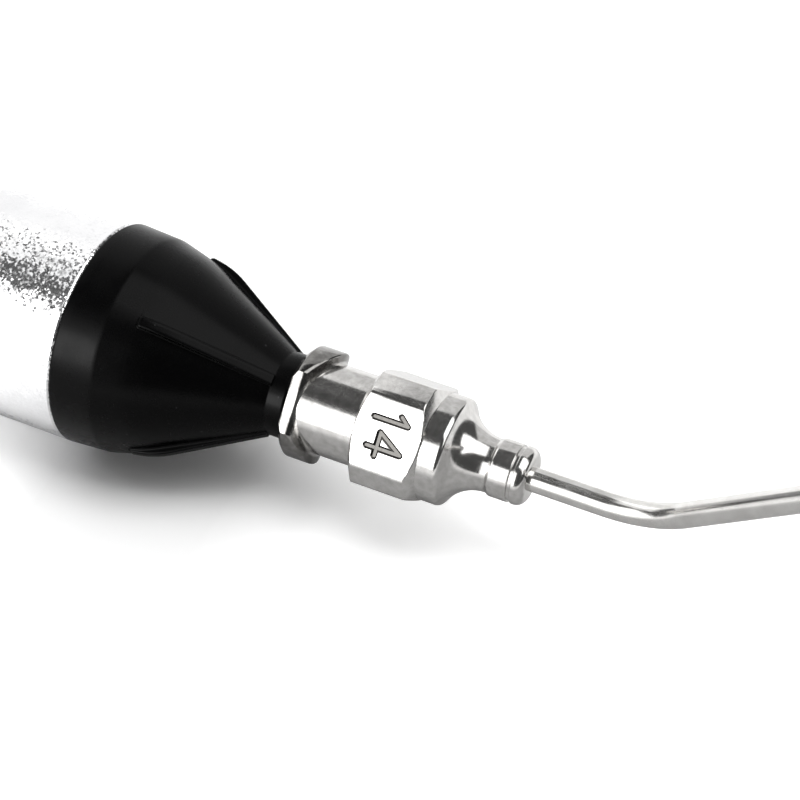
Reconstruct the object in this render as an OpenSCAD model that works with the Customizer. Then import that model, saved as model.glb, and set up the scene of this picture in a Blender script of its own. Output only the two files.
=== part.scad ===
// Vacuum pick up pen: aluminium barrel, finned moulded nose, plated hub with a bent tube and a rubber cup.
// Millimetres. X runs along the pen from the tail face to the tip, Z is up, the axis is at Y = 0, Z = 0.
// The pen lies on the line under its barrel and on the flank of its key, which stops it from rolling.
// A roll is a turn about X, measured from straight up towards -Y.

/* [Barrel] */
// Outer diameter of the barrel
barrel_od = 16; // [14:0.5:19]
// Wall of the barrel
barrel_wall = 1; // [0.8:0.1:1.5]
// Length of the barrel
barrel_len = 82; // [76:1:120]
// Chamfer on the barrel's outer end edges
barrel_chamfer = 0.4; // [0.1:0.05:0.5]

/* [Tail cap] */
// Length of the cap's head behind the barrel
cap_len = 4; // [3:0.5:8]
// Rounding of the cap's rear edge
cap_round = 1.2; // [0.5:0.1:2]
// Length of the cap's plug inside the barrel
cap_plug_len = 8; // [5:0.5:12]
// Wall of the cap's plug
cap_plug_wall = 1.5; // [1:0.1:2.5]

/* [Nose] */
// Length of the plain skirt next to the barrel
skirt_len = 3; // [2:0.1:4]
// Drop in radius along the skirt
skirt_draft = 0.2; // [0.1:0.05:0.5]
// Distance from the barrel to the corner of the cone's outline
cone_corner = 5.9; // [5:0.1:7]
// Drop in radius from the skirt to the corner of the cone's outline
cone_drop = 0.8; // [0.6:0.05:1.1]
// Rounding of the corner of the cone's outline
cone_round = 12; // [6:0.5:18]
// Distance from the barrel to the small end of the cone
cone_end = 13.7; // [12:0.1:18]
// Diameter of the collar at the tip
collar_d = 6; // [5.6:0.1:7]
// Length of the collar at the tip
collar_len = 1.25; // [0.8:0.05:3]
// Number of fins
fin_count = 4; // [3:1:6]
// Thickness of a fin
fin_t = 0.75; // [0.5:0.05:1.2]
// Distance from the barrel to the start of the fins
fin_start = 4.8; // [4.2:0.1:5]
// Distance from the barrel to the corner of a fin's outline
fin_corner = 6.85; // [6.5:0.05:8]
// Drop in radius from the skirt to the corner of a fin's outline
fin_drop = 0.62; // [0.2:0.02:0.7]
// Rounding of the corner of a fin's outline
fin_round = 7; // [3:0.5:8]
// Rounding of the start of a fin
fin_start_round = 0.4; // [0.2:0.05:0.5]
// Height of a fin over the collar at its small end
fin_tip_h = 0.15; // [0.1:0.05:1]
// Reach of a fin's small end over the collar
fin_over = 0.1; // [0.05:0.05:0.6]
// Roll of the first fin
nose_roll = 29; // [0:1:90]

/* [Inside of the nose] */
// Length of the spigot inside the barrel
spigot_len = 8; // [5:0.5:10]
// Wall of the spigot
spigot_wall = 1.5; // [1:0.1:2]
// Depth of the hollow round the stem, ahead of the barrel's end
core_depth = 4; // [2:0.2:6]
// Diameter of the stem that carries the bulb
stem_d = 5; // [4:0.1:6]
// Length of the stem behind the barrel's end
stem_len = 13; // [11:0.5:16]
// Height of the barb at the stem's end
barb_h = 0.5; // [0.2:0.05:0.8]
// Length of the barb
barb_len = 2.5; // [1.5:0.1:4]
// Diameter of the air passage
air_d = 2; // [1:0.1:2.6]

/* [Taper fit] */
// Diameter of the male taper at its small end
taper_tip_d = 3.96; // [3.9:0.01:4.1]
// Length of the male taper
taper_len = 6.2; // [5:0.1:7.5]
// Change of diameter per millimetre along the taper
taper_rate = 0.06; // [0.04:0.005:0.08]
// Radial clearance between the male taper and the hub's socket
taper_clear = 0.03; // [0.02:0.01:0.1]
// Room beyond the male taper in the hub's socket
socket_room = 1; // [0.5:0.1:2]
// Gap between the nose's collar and the hub
hub_gap = 0.2; // [0.15:0.05:0.6]

/* [Hub] */
// Diameter over the two lugs
lug_d = 7.9; // [7.6:0.05:8.2]
// Length of a lug at its middle
lug_len = 2.1; // [1.8:0.1:3]
// Radius of the crowned front faces of the lugs
lug_crown_r = 4.85; // [4.7:0.05:12]
// Width of the flange across its two flats
flange_w = 6.6; // [6.5:0.05:7.2]
// Chamfer on the flange's rear edge
flange_chamfer = 0.3; // [0.1:0.05:0.4]
// Diameter of the neck
neck_d = 6.4; // [6:0.05:6.45]
// Length of the neck, from the hub's rear end
neck_len = 5.2; // [4.5:0.1:8]
// Width of the wrench block across its flats
block_af = 7.7; // [7.6:0.05:9]
// Leg of the chamfers along the block's four corners
block_corner = 1.25; // [0.8:0.05:1.6]
// Length of the wrench block
block_len = 4.9; // [3.5:0.1:8]
// Angle of the turned chamfers at the block's ends
block_end_angle = 31; // [15:1:40]
// Distance inside the flats at which the end chamfers begin
block_end_inset = 0.15; // [0.05:0.05:0.3]
// Diameter of the shoulder ahead of the block
shoulder_d = 7.5; // [7:0.05:7.55]
// Length of the shoulder
shoulder_len = 1.3; // [0.8:0.1:2]
// Rounding of the shoulder's edge
shoulder_round = 0.3; // [0.1:0.05:0.5]
// Slope at which the cove leaves the shoulder
cove_angle = 60; // [45:1:80]
// Diameter of the waist at the cove's end
waist_d = 3.76; // [3.2:0.02:3.9]
// Diameter of the bead that grips the tube
bead_d = 4.04; // [3.95:0.01:4.6]
// Length of the bead
bead_len = 2.6; // [2.3:0.1:4]
// Width of the groove in the bead
groove_w = 0.24; // [0.1:0.02:0.4]
// Depth of the groove in the bead
groove_depth = 0.14; // [0.05:0.01:0.3]
// Distance from the groove to the bead's front end
groove_back = 0.9; // [0.8:0.05:1.2]
// Rounding of the bead's front end
bead_round = 0.7; // [0.3:0.05:0.75]
// Roll of the hub's first flat
hub_roll = 47; // [0:1:90]

/* [Tube] */
// Outer diameter of the tube
tube_od = 1.7; // [1.2:0.05:2.2]
// Wall of the tube
tube_wall = 0.25; // [0.15:0.05:0.4]
// Length of the tube inside the hub
tube_grip = 8; // [5:0.5:8.5]
// Straight length between the hub and the bend
tube_lead = 5; // [2:0.5:15]
// Radius of the bend
bend_r = 8; // [5:0.5:15]
// Angle of the bend
bend_angle = 45; // [15:1:75]
// Straight length after the bend
tube_reach = 24; // [12:1:40]
// Roll of the bend
bend_roll = 15; // [0:1:45]

/* [Suction cup] */
// Diameter of the cup's lip
cup_d = 8; // [6:0.5:12]
// Depth of the bell, from the neck to the lip
cup_bell_len = 2.6; // [2:0.1:5]
// Diameter of the cup's neck
cup_neck_d = 3.8; // [3.4:0.1:5]
// Length of the tube inside the cup's neck
cup_grip = 3.5; // [2:0.1:6]
// Thickness of the web ahead of the tube
cup_web = 0.6; // [0.4:0.1:1]
// Width of the flat lip
cup_lip = 0.45; // [0.3:0.05:0.8]
// Height of the lip's outer edge
cup_edge = 0.4; // [0.2:0.05:0.8]

/* [Key] */
// Distance from the barrel's front end to the middle of the key
key_back = 37; // [32:1:45]
// Length of the key
key_len = 16; // [12:0.5:20]
// Width of the key, with a full round top
key_w = 5; // [4:0.2:6]
// Height of the key over the barrel
key_proud = 2.5; // [1.5:0.1:3]
// Clearance round the key in its slot and over its foot
key_clear = 0.15; // [0.1:0.05:0.3]
// Width of the foot
foot_w = 9; // [8:0.2:9.6]
// Reach of the foot beyond each end of the key
foot_lip = 3; // [1:0.5:5]
// Thickness of the foot at its long edges
foot_edge = 0.8; // [0.5:0.1:1.2]

/* [Squeeze bulb] */
// Length of the press plate
plate_len = 28; // [22:1:32]
// Thickness of the press plate
plate_t = 0.8; // [0.4:0.1:1]
// Gap between the bulb and the parts round it
bulb_gap = 0.3; // [0.2:0.05:0.6]
// Length of the bulb
bulb_len = 46; // [40:1:52]
// Wall of the bulb
bulb_wall = 1.2; // [0.8:0.1:1.5]
// Rounding of the bulb's ends
bulb_round = 3; // [1.5:0.1:3.5]
// Wall of the bulb's neck
bulb_neck_wall = 1.2; // [0.8:0.1:1.5]
// Length of the bulb's neck on the stem
bulb_neck_len = 10; // [7:0.5:10.5]

/* [Hidden] */

$fn = 96;
arc_steps = 8;
// Extra reach of a cutting shape past the face that it cuts
past = 1;
// Shortest straight stretch left between two roundings
edge_left = 0.05;

barrel_r = barrel_od / 2;
bore_r = barrel_r - barrel_wall;
front_x = cap_len + barrel_len;

skirt_r = barrel_r - skirt_draft;
collar_r = collar_d / 2;
nose_len = cone_end + collar_len;
stem_r = stem_d / 2;
barb_r = stem_r + barb_h;
taper_tip_r = taper_tip_d / 2;
taper_base_r = taper_tip_r + taper_rate * taper_len / 2;

hub_x = front_x + nose_len + hub_gap;
block_end = neck_len + block_len;
shoulder_end = block_end + shoulder_len;
shoulder_r = shoulder_d / 2;
waist_r = waist_d / 2;
cove_r0 = shoulder_r - shoulder_round * (1 - cos(cove_angle));
cove_x0 = shoulder_end - shoulder_round * (1 - sin(cove_angle));
cove_r = (cove_r0 - waist_r) / (1 - cos(cove_angle));
waist_x = cove_x0 + cove_r * sin(cove_angle);
hub_len = waist_x + bead_len;
socket_len = taper_len - hub_gap + socket_room;

tube_r = tube_od / 2;
tube_x = hub_x + hub_len - tube_grip;
bend_x = hub_x + hub_len + tube_lead;
tube_bore_r = tube_r - tube_wall;

crown_r = key_w / 2;
crown_at = barrel_r + key_proud - crown_r;
key_lean = acos((barrel_r - crown_r) / crown_at);
key_x = front_x - key_back;
foot_r = bore_r - key_clear;
foot_at = sqrt(foot_r * foot_r - foot_w * foot_w / 4) - foot_edge;
plate_at = foot_at - plate_t;

bulb_r = bore_r - bulb_gap;
bulb_flat = plate_at - bulb_gap;
bulb_front = -stem_len - bulb_wall;
bulb_neck_r = barb_r + bulb_neck_wall;

function unit(v) = v / norm(v);

function half_angle(a, b, c) = acos(unit(a - b) * unit(c - b)) / 2;

// Radius r, or the largest that fits at the corner b when the far end of the line to a has lost some length
function fitting(a, b, c, r, lost = 0) =
    min(r, (norm(a - b) - lost - edge_left) * tan(half_angle(a, b, c)));

// Points of the arc of radius r that rounds the corner b between the lines to a and c
function rounded(a, b, c, r) =
    let (u = unit(a - b), w = unit(c - b), half = half_angle(a, b, c))
    let (centre = b + unit(u + w) * r / sin(half))
    let (from = b + u * r / tan(half) - centre)
    let (to = b + w * r / tan(half) - centre)
    let (start = atan2(from[1], from[0]))
    let (turn = (atan2(to[1], to[0]) - start + 540) % 360 - 180)
    [for (i = [0 : arc_steps]) let (t = start + turn * i / arc_steps) centre + r * [cos(t), sin(t)]];

// Solid of revolution about the pen's axis, from points that are [station along X, radius]
module turned(points) {
    rotate([0, 90, 0])
        rotate_extrude()
            polygon([for (p = points) [p[1], p[0]]]);
}

// Round hole or rod along X between two stations
module rod(from, to, r) {
    translate([from, 0, 0])
        rotate([0, 90, 0])
            cylinder(h = to - from, r = r);
}

module pill_outline(len, w) {
    for (side = [-1, 1])
        translate([side * (len - w) / 2, 0])
            circle(d = w);
    square([len - w, w], center = true);
}

// Frame of the key: local Z points out of the barrel at the key's middle
module at_key() {
    translate([key_x, 0, 0])
        rotate([180 + key_lean, 0, 0])
            children();
}

// Frame of the tube after its bend: local X points to the tip
module after_bend() {
    rotate([bend_roll, 0, 0])
        translate([bend_x, 0, bend_r])
            rotate([0, -bend_angle, 0])
                translate([0, 0, -bend_r])
                    children();
}

module barrel() {
    color("silver")
        difference() {
            translate([cap_len, 0, 0])
                turned([
                    [0, bore_r], [0, barrel_r - barrel_chamfer], [barrel_chamfer, barrel_r],
                    [barrel_len - barrel_chamfer, barrel_r], [barrel_len, barrel_r - barrel_chamfer],
                    [barrel_len, bore_r]
                ]);
            at_key()
                linear_extrude(height = barrel_r + past)
                    pill_outline(key_len + 2 * key_clear, key_w + 2 * key_clear);
        }
}

module tail_cap() {
    plug_r = bore_r - cap_plug_wall;
    rear_edge = rounded([0, 0], [0, barrel_r], [cap_len, barrel_r], cap_round);
    color("black")
        turned(concat([[0, 0]], rear_edge, [
            [cap_len, barrel_r], [cap_len, bore_r], [cap_len + cap_plug_len, bore_r],
            [cap_len + cap_plug_len, plug_r], [cap_len, plug_r], [cap_len, 0]
        ]));
}

// Outer skin of the nose between its fins, from the barrel to the male taper's end
function nose_skin() =
    let (skirt = [skirt_len, skirt_r], corner = [cone_corner, skirt_r - cone_drop])
    let (small_end = [cone_end, collar_r], round = fitting(skirt, corner, small_end, cone_round))
    concat(
        [[0, barrel_r], skirt], rounded(skirt, corner, small_end, round),
        [
            small_end, [nose_len, collar_r], [nose_len, taper_base_r],
            [nose_len + taper_len, taper_tip_r]
        ]
    );

// Side view of a fin: round start on the line from the skirt, round corner, then straight to the collar
function fin_outline() =
    let (corner = [fin_corner, skirt_r - fin_drop], tip = [cone_end + fin_over, collar_r + fin_tip_h])
    let (root = [fin_start, collar_r / 2])
    let (start = [fin_start, skirt_r - fin_drop * (fin_start - skirt_len) / (fin_corner - skirt_len)])
    let (start_run = fin_start_round / tan(half_angle(root, start, corner)))
    let (round = fitting(start, corner, tip, fin_round, start_run))
    concat(
        [root], rounded(root, start, corner, fin_start_round),
        rounded(start, corner, tip, round), [tip, [tip[0], root[1]]]
    );

// Rear stem from its end to the root in the cone, with a barb that holds the bulb
function stem_skin() = [
    [-stem_len, 0], [-stem_len, stem_r], [barb_len - stem_len, barb_r], [barb_len - stem_len, stem_r]
];

module nose_cone() {
    spigot_bore_r = bore_r - spigot_wall;
    color([0.05, 0.05, 0.055])
        translate([front_x, 0, 0])
            difference() {
                union() {
                    turned(concat(
                        stem_skin(),
                        [
                            [core_depth, stem_r], [core_depth, spigot_bore_r],
                            [-spigot_len, spigot_bore_r], [-spigot_len, bore_r], [0, bore_r]
                        ],
                        nose_skin(),
                        [[nose_len + taper_len, 0]]
                    ));
                    for (i = [0 : fin_count - 1])
                        rotate([nose_roll + 90 + i * 360 / fin_count, 0, 0])
                            linear_extrude(height = fin_t, center = true)
                                polygon(fin_outline());
                }
                rod(-stem_len - past, nose_len + taper_len + past, air_d / 2);
            }
}

// Body of revolution of the bulb, shrunk by inset all round
module bulb_form(inset) {
    rear = [bulb_front - bulb_len + inset, bulb_r - inset];
    front = [bulb_front - inset, bulb_r - inset];
    turned(concat(
        [[rear[0], 0]],
        rounded([rear[0], 0], rear, front, bulb_round - inset),
        rounded(rear, front, [front[0], 0], bulb_round - inset),
        [[front[0], 0]]
    ));
}

// Everything beyond the flat of the bulb, shrunk by inset
module bulb_flat_cut(inset) {
    rotate([180 + key_lean, 0, 0])
        translate([bulb_front - bulb_len - past, -barrel_r, bulb_flat - inset])
            cube([bulb_len + 2 * past, barrel_od, barrel_r]);
}

module squeeze_bulb() {
    color([0.2, 0.2, 0.2])
        translate([front_x, 0, 0])
            difference() {
                union() {
                    difference() {
                        bulb_form(0);
                        bulb_flat_cut(0);
                    }
                    rod(bulb_front - bulb_wall, -stem_len + bulb_neck_len, bulb_neck_r);
                }
                difference() {
                    bulb_form(bulb_wall);
                    bulb_flat_cut(bulb_wall);
                }
                turned(concat(stem_skin(), [[past, stem_r], [past, 0]]));
                rod(bulb_front - 2 * bulb_wall, -stem_len + past, air_d / 2);
            }
}

// Half section of the key's upright part: straight sides and a full round top
module key_section() {
    translate([0, foot_at])
        square([crown_r, crown_at - foot_at]);
    intersection() {
        translate([0, crown_at])
            circle(r = crown_r);
        translate([0, crown_at])
            square([crown_r, crown_r]);
    }
}

module button() {
    run = key_len - key_w;
    foot_len = key_len + 2 * foot_lip;
    color("dimgray")
        at_key() {
            for (side = [0, 180])
                rotate([0, 0, side])
                    translate([run / 2, 0, 0])
                        rotate([0, 0, -90])
                            rotate_extrude(angle = 180)
                                key_section();
            for (side = [0, 1])
                mirror([0, side, 0])
                    translate([-run / 2, 0, 0])
                        rotate([90, 0, 90])
                            linear_extrude(height = run)
                                key_section();
            intersection() {
                translate([-foot_len / 2, -foot_w / 2, foot_at])
                    cube([foot_len, foot_w, barrel_r]);
                rod(-foot_len, foot_len, foot_r);
            }
        }
}

module press_plate() {
    color("lightsteelblue")
        at_key()
            translate([0, 0, plate_at])
                linear_extrude(height = plate_t)
                    pill_outline(plate_len, foot_w);
}

// Flange with two flats and a lug on each side between them, its front face crowned from lug to lug
module hub_flange() {
    lug_r = lug_d / 2;
    intersection() {
        turned([
            [0, 0], [0, lug_r - flange_chamfer], [flange_chamfer, lug_r], [lug_len + past, lug_r],
            [lug_len + past, 0]
        ]);
        translate([-past, -lug_r, -flange_w / 2])
            cube([lug_len + 2 * past, lug_d, flange_w]);
        translate([lug_len - lug_crown_r, lug_d, 0])
            rotate([90, 0, 0])
                cylinder(h = 2 * lug_d, r = lug_crown_r);
    }
}

// Square bar with chamfered corners, its two ends turned to a cone
module hub_block() {
    flat_r = block_af / 2;
    turned_r = flat_r - block_end_inset;
    corner_r = flat_r * sqrt(2);
    end_drop = (corner_r - turned_r) * tan(block_end_angle);
    edge = flat_r - block_corner;
    intersection() {
        translate([neck_len, 0, 0])
            rotate([0, 90, 0])
                linear_extrude(height = block_len)
                    polygon([
                        [flat_r, -edge], [flat_r, edge], [edge, flat_r], [-edge, flat_r],
                        [-flat_r, edge], [-flat_r, -edge], [-edge, -flat_r], [edge, -flat_r]
                    ]);
        turned([
            [neck_len, 0], [neck_len, turned_r], [neck_len + end_drop, corner_r],
            [block_end - end_drop, corner_r], [block_end, turned_r], [block_end, 0]
        ]);
    }
}

// Round parts of the hub: neck, shoulder, cove, and the grooved bead that grips the tube
module hub_turning() {
    bead_r = bead_d / 2;
    groove_r = bead_r - groove_depth;
    groove_x = hub_len - groove_back;
    edge = [for (i = [0 : arc_steps]) let (t = cove_angle * i / arc_steps)
        [shoulder_end - shoulder_round * (1 - sin(t)), shoulder_r - shoulder_round * (1 - cos(t))]];
    cove = [for (i = [1 : arc_steps]) let (t = cove_angle * (1 - i / arc_steps))
        [waist_x - cove_r * sin(t), waist_r + cove_r * (1 - cos(t))]];
    bead_rise = (bead_r - waist_r) * 2;
    nose = rounded([groove_x, bead_r], [hub_len, bead_r], [hub_len, 0], bead_round);
    turned(concat(
        [
            [0, 0], [0, neck_d / 2], [block_end - block_len / 2, neck_d / 2],
            [block_end - block_len / 2, shoulder_r]
        ],
        edge, cove,
        [
            [waist_x + bead_rise, bead_r], [groove_x - groove_w, bead_r], [groove_x - groove_w, groove_r],
            [groove_x, groove_r], [groove_x, bead_r]
        ],
        nose, [[hub_len, 0]]
    ));
}

module needle_hub() {
    mouth_r = taper_base_r - taper_rate * hub_gap / 2 + taper_clear;
    socket_end_r = mouth_r - taper_rate * socket_len / 2;
    color("gainsboro")
        translate([hub_x, 0, 0])
            rotate([hub_roll, 0, 0])
                difference() {
                    union() {
                        hub_flange();
                        hub_block();
                        hub_turning();
                    }
                    turned([
                        [-past, 0], [-past, mouth_r + taper_rate * past / 2],
                        [socket_len, socket_end_r], [socket_len, 0]
                    ]);
                    rod(0, hub_len + past, tube_r);
                }
}

// Rod of radius r along the tube's middle line, its ends moved out by reach
module tube_line(r, reach) {
    rotate([bend_roll, 0, 0]) {
        rod(tube_x - reach, bend_x, r);
        translate([bend_x, 0, bend_r])
            rotate([90, 90, 0])
                rotate_extrude(angle = bend_angle)
                    translate([bend_r, 0])
                        circle(r = r);
    }
    after_bend()
        rod(0, tube_reach + reach, r);
}

module needle_tube() {
    color("lightgray")
        difference() {
            tube_line(tube_r, 0);
            tube_line(tube_bore_r, past);
        }
}

module suction_cup() {
    web_at = cup_grip + cup_web;
    cup_len = web_at + cup_bell_len;
    cup_r = cup_d / 2;
    neck_r = cup_neck_d / 2;
    color([0.12, 0.12, 0.13])
        after_bend()
            translate([tube_reach - cup_grip, 0, 0])
                turned([
                    [0, tube_r], [0, neck_r], [cup_grip, neck_r], [cup_len - cup_edge, cup_r],
                    [cup_len, cup_r], [cup_len, cup_r - cup_lip], [web_at, tube_r], [web_at, tube_bore_r],
                    [cup_grip, tube_bore_r], [cup_grip, tube_r]
                ]);
}

barrel();
tail_cap();
nose_cone();
squeeze_bulb();
button();
press_plate();
needle_hub();
needle_tube();
suction_cup();
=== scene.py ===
"""Looks of a hand vacuum pen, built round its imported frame: pieces, finishes, studio and camera."""

from __future__ import annotations

import logging
import math
from dataclasses import dataclass
from enum import Enum
from functools import cached_property

import bmesh
import bpy
from mathutils import Matrix, Vector

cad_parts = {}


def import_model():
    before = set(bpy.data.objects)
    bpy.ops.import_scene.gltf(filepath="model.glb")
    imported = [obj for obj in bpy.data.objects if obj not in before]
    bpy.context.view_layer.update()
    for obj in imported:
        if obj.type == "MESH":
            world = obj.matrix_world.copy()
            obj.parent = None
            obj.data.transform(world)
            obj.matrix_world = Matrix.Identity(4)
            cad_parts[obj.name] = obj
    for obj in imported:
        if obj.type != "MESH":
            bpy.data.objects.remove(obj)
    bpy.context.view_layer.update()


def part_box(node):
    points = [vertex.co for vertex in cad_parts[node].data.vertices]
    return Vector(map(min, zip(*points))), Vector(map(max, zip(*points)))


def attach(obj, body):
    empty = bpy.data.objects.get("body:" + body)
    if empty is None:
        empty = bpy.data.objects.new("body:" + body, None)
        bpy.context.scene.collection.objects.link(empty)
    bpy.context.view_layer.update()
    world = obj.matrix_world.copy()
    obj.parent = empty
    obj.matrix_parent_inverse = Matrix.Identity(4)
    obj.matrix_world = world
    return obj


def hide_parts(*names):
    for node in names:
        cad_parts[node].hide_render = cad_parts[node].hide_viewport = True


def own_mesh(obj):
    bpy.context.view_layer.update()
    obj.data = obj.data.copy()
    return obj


LOG = logging.getLogger("vacuum_pen")
MM = 0.001
Point = tuple[float, float]
Span = tuple[float, float]
ALONG = Vector((1, 0, 0))
ACROSS = Vector((0, 1, 0))
UP = Vector((0, 0, 1))

# Longest turn and longest run in millimetres of one step of a rounded corner.
ARC_TURN = math.radians(12)
ARC_RUN = 0.4
# Shares of a corner's two arms at the four points that ease it.
EASING = [((1 - i / 3) ** 2, (i / 3) ** 2) for i in range(4)]
# Distances in metres within which points are one, and within which a point lies on a cut.
MERGE_GAP = 0.0005 * MM
CUT_GAP = 0.0001 * MM
# Corners of an ordinary face. A face with more is a cap.
QUAD = 4
# Height of a normal below which a face looks down.
FACING_DOWN = -0.9
# Radius in millimetres at which a loft's rings are drawn before their points are moved.
LOFT_R = 3.0
# Ranges of a noise that are spread over a finish, and the whole range of a factor.
MIDDLE = (0.3, 0.7)
UPPER = (0.35, 0.7)
FULL = (0, 1)
NOISE_ROUGHNESS = 0.55


class Body(Enum):
    """Groups of pieces that move together."""

    PEN = "pen_body"
    BUTTON = "button"
    NEEDLE = "needle"


class Slot(Enum):
    """Finishes that the record names."""

    BARREL = "blasted_aluminium"
    MOULDING = "black_plastic"
    BULB = "bulb_rubber"
    BUTTON = "button_plastic"
    STRIP = "strip_steel"
    HUB = "plated_hub"
    TUBE = "tube_steel"
    CUP = "cup_rubber"


class Join(Enum):
    """Ways in which a tool shape acts on a piece."""

    ADD = "UNION"
    CUT = "DIFFERENCE"
    KEEP = "INTERSECT"


@dataclass(frozen=True)
class Corner:
    """Corner of an outline in millimetres: station along the axis, radius, and its rounding."""

    x: float
    r: float
    rounding: float = 0.0

    @property
    def point(self) -> Vector:
        """Place of the corner in the plane of the outline."""
        return Vector((self.x, self.r))


def rounded(before: Vector, at: Vector, after: Vector, radius: float) -> list[Vector]:
    """Arc that rounds one corner of an outline.

    Args:
        before: Point that the outline comes from.
        at: The corner.
        after: Point that the outline goes to.
        radius: Radius of the arc.

    Returns:
        Points along the arc, in the outline's order.
    """
    back, ahead = (before - at).normalized(), (after - at).normalized()
    half = back.angle(ahead) / 2
    centre = at + (back + ahead).normalized() * (radius / math.sin(half))
    first = at + back * (radius / math.tan(half)) - centre
    last = at + ahead * (radius / math.tan(half)) - centre
    start = math.atan2(first.y, first.x)
    turn = (math.atan2(last.y, last.x) - start + 3 * math.pi) % (2 * math.pi) - math.pi
    steps = max(2, math.ceil(abs(turn) / ARC_TURN), math.ceil(abs(turn) * radius / ARC_RUN))
    angles = [start + turn * i / steps for i in range(steps + 1)]
    return [centre + radius * Vector((math.cos(a), math.sin(a))) for a in angles]


def eased(before: Vector, at: Vector, after: Vector, size: float) -> list[Vector]:
    """Four points that round a corner and start and end a size away from it."""
    back, ahead = (before - at).normalized() * size, (after - at).normalized() * size
    return [at + back * near + ahead * far for near, far in EASING]


def outline(corners: list[Corner], closed: bool) -> list[Point]:
    """Points of an outline with its corners rounded.

    Args:
        corners: Corners in order.
        closed: Whether the last corner joins the first.

    Returns:
        Pairs of station and radius, ending on the first point again if closed.
    """
    points: list[Vector] = []
    count = len(corners)
    for i, corner in enumerate(corners):
        inner = closed or 0 < i < count - 1
        if corner.rounding > 0 and inner:
            before, after = corners[i - 1].point, corners[(i + 1) % count].point
            points += rounded(before, corner.point, after, corner.rounding)
        else:
            points.append(corner.point)
    if closed:
        points.append(points[0])
    return [(p.x, p.y) for p in points]


def radius_at(points: list[Point], x: float) -> float:
    """Radius of an outline at a station.

    Args:
        points: Station and radius of each point of the outline.
        x: The station.

    Returns:
        The radius there, or zero outside the outline.
    """
    for (x0, r0), (x1, r1) in zip(points, points[1:]):
        if x0 <= x <= x1 and x1 > x0:
            return r0 + (r1 - r0) * (x - x0) / (x1 - x0)
    return 0.0


def divided(points: list[Point], step: float) -> list[Point]:
    """Splits the long runs of an outline.

    Args:
        points: Points of the outline in millimetres.
        step: Longest run that is left whole.

    Returns:
        The outline's points with those between them.
    """
    split = [points[0]]
    for (x0, r0), (x1, r1) in zip(points, points[1:]):
        count = max(1, math.ceil(math.hypot(x1 - x0, r1 - r0) / step))
        split += [(x0 + (x1 - x0) * i / count, r0 + (r1 - r0) * i / count) for i in range(1, count + 1)]
    return split


def clear_selection() -> None:
    """Leaves object mode with nothing selected."""
    if bpy.context.mode != "OBJECT":
        bpy.ops.object.mode_set(mode="OBJECT")
    bpy.ops.object.select_all(action="DESELECT")


def pick(obj: bpy.types.Object) -> None:
    """Makes one object the only selected and active one.

    Args:
        obj: The object.
    """
    clear_selection()
    obj.select_set(True)
    bpy.context.view_layer.objects.active = obj


def open_mesh(obj: bpy.types.Object, whole: bool = True) -> None:
    """Opens a piece in edit mode.

    Args:
        obj: The piece.
        whole: Whether all of it is selected, or nothing.
    """
    pick(obj)
    bpy.ops.object.mode_set(mode="EDIT")
    bpy.ops.mesh.select_all(action="SELECT" if whole else "DESELECT")


def close_mesh(obj: bpy.types.Object) -> None:
    """Merges doubles and turns all faces outwards.

    Args:
        obj: The piece.
    """
    open_mesh(obj)
    bpy.ops.mesh.remove_doubles(threshold=MERGE_GAP)
    bpy.ops.mesh.normals_make_consistent(inside=False)
    bpy.ops.object.mode_set(mode="OBJECT")


def settled(name: str) -> bpy.types.Object:
    """Names the primitive that was just added and puts its place into its mesh.

    Args:
        name: Name of the piece.

    Returns:
        The piece.
    """
    obj = bpy.context.object
    obj.name = obj.data.name = name
    bpy.ops.object.transform_apply(location=True, rotation=True, scale=True)
    return obj


def circle(name: str, x: float, r: float, sides: int) -> bpy.types.Object:
    """Adds a bare ring round the X axis.

    Args:
        name: Name of the piece.
        x: Station in millimetres.
        r: Radius in millimetres.
        sides: Points round the ring.

    Returns:
        The ring.
    """
    clear_selection()
    bpy.ops.mesh.primitive_circle_add(
        vertices=sides, radius=r * MM, location=(x * MM, 0, 0), rotation=(0, math.pi / 2, 0)
    )
    return settled(name)


def turned(name: str, points: list[Point], sides: int = 192) -> bpy.types.Object:
    """Draws a ring out along X, station by station, as on a lathe.

    Args:
        name: Name of the piece.
        points: Station and radius of each ring in millimetres; open ends are filled.
        sides: Points round the ring.

    Returns:
        The closed piece.
    """
    obj = circle(name, *points[0], sides)
    open_mesh(obj)
    is_open = points[0] != points[-1]
    if is_open:
        bpy.ops.mesh.edge_face_add()
        bpy.ops.mesh.select_mode(type="EDGE")
    for (x0, r0), (x1, r1) in zip(points, points[1:]):
        bpy.ops.mesh.extrude_edges_move(TRANSFORM_OT_translate={"value": ((x1 - x0) * MM, 0, 0)})
        bpy.ops.transform.resize(value=(1, r1 / r0, r1 / r0), center_override=(x1 * MM, 0, 0))
    if is_open:
        bpy.ops.mesh.edge_face_add()
    bpy.ops.mesh.select_mode(type="VERT")
    close_mesh(obj)
    return obj


@dataclass(frozen=True)
class Spot:
    """Point of a piece: station and radius in millimetres, and angle round the axis from straight up."""

    x: float
    r: float
    turn: float

    @property
    def height(self) -> float:
        """Height over the axis in millimetres."""
        return self.r * math.cos(self.turn)

    @property
    def place(self) -> Vector:
        """Place of the point in the scene."""
        return Vector((self.x, -self.r * math.sin(self.turn), self.height)) * MM


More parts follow.
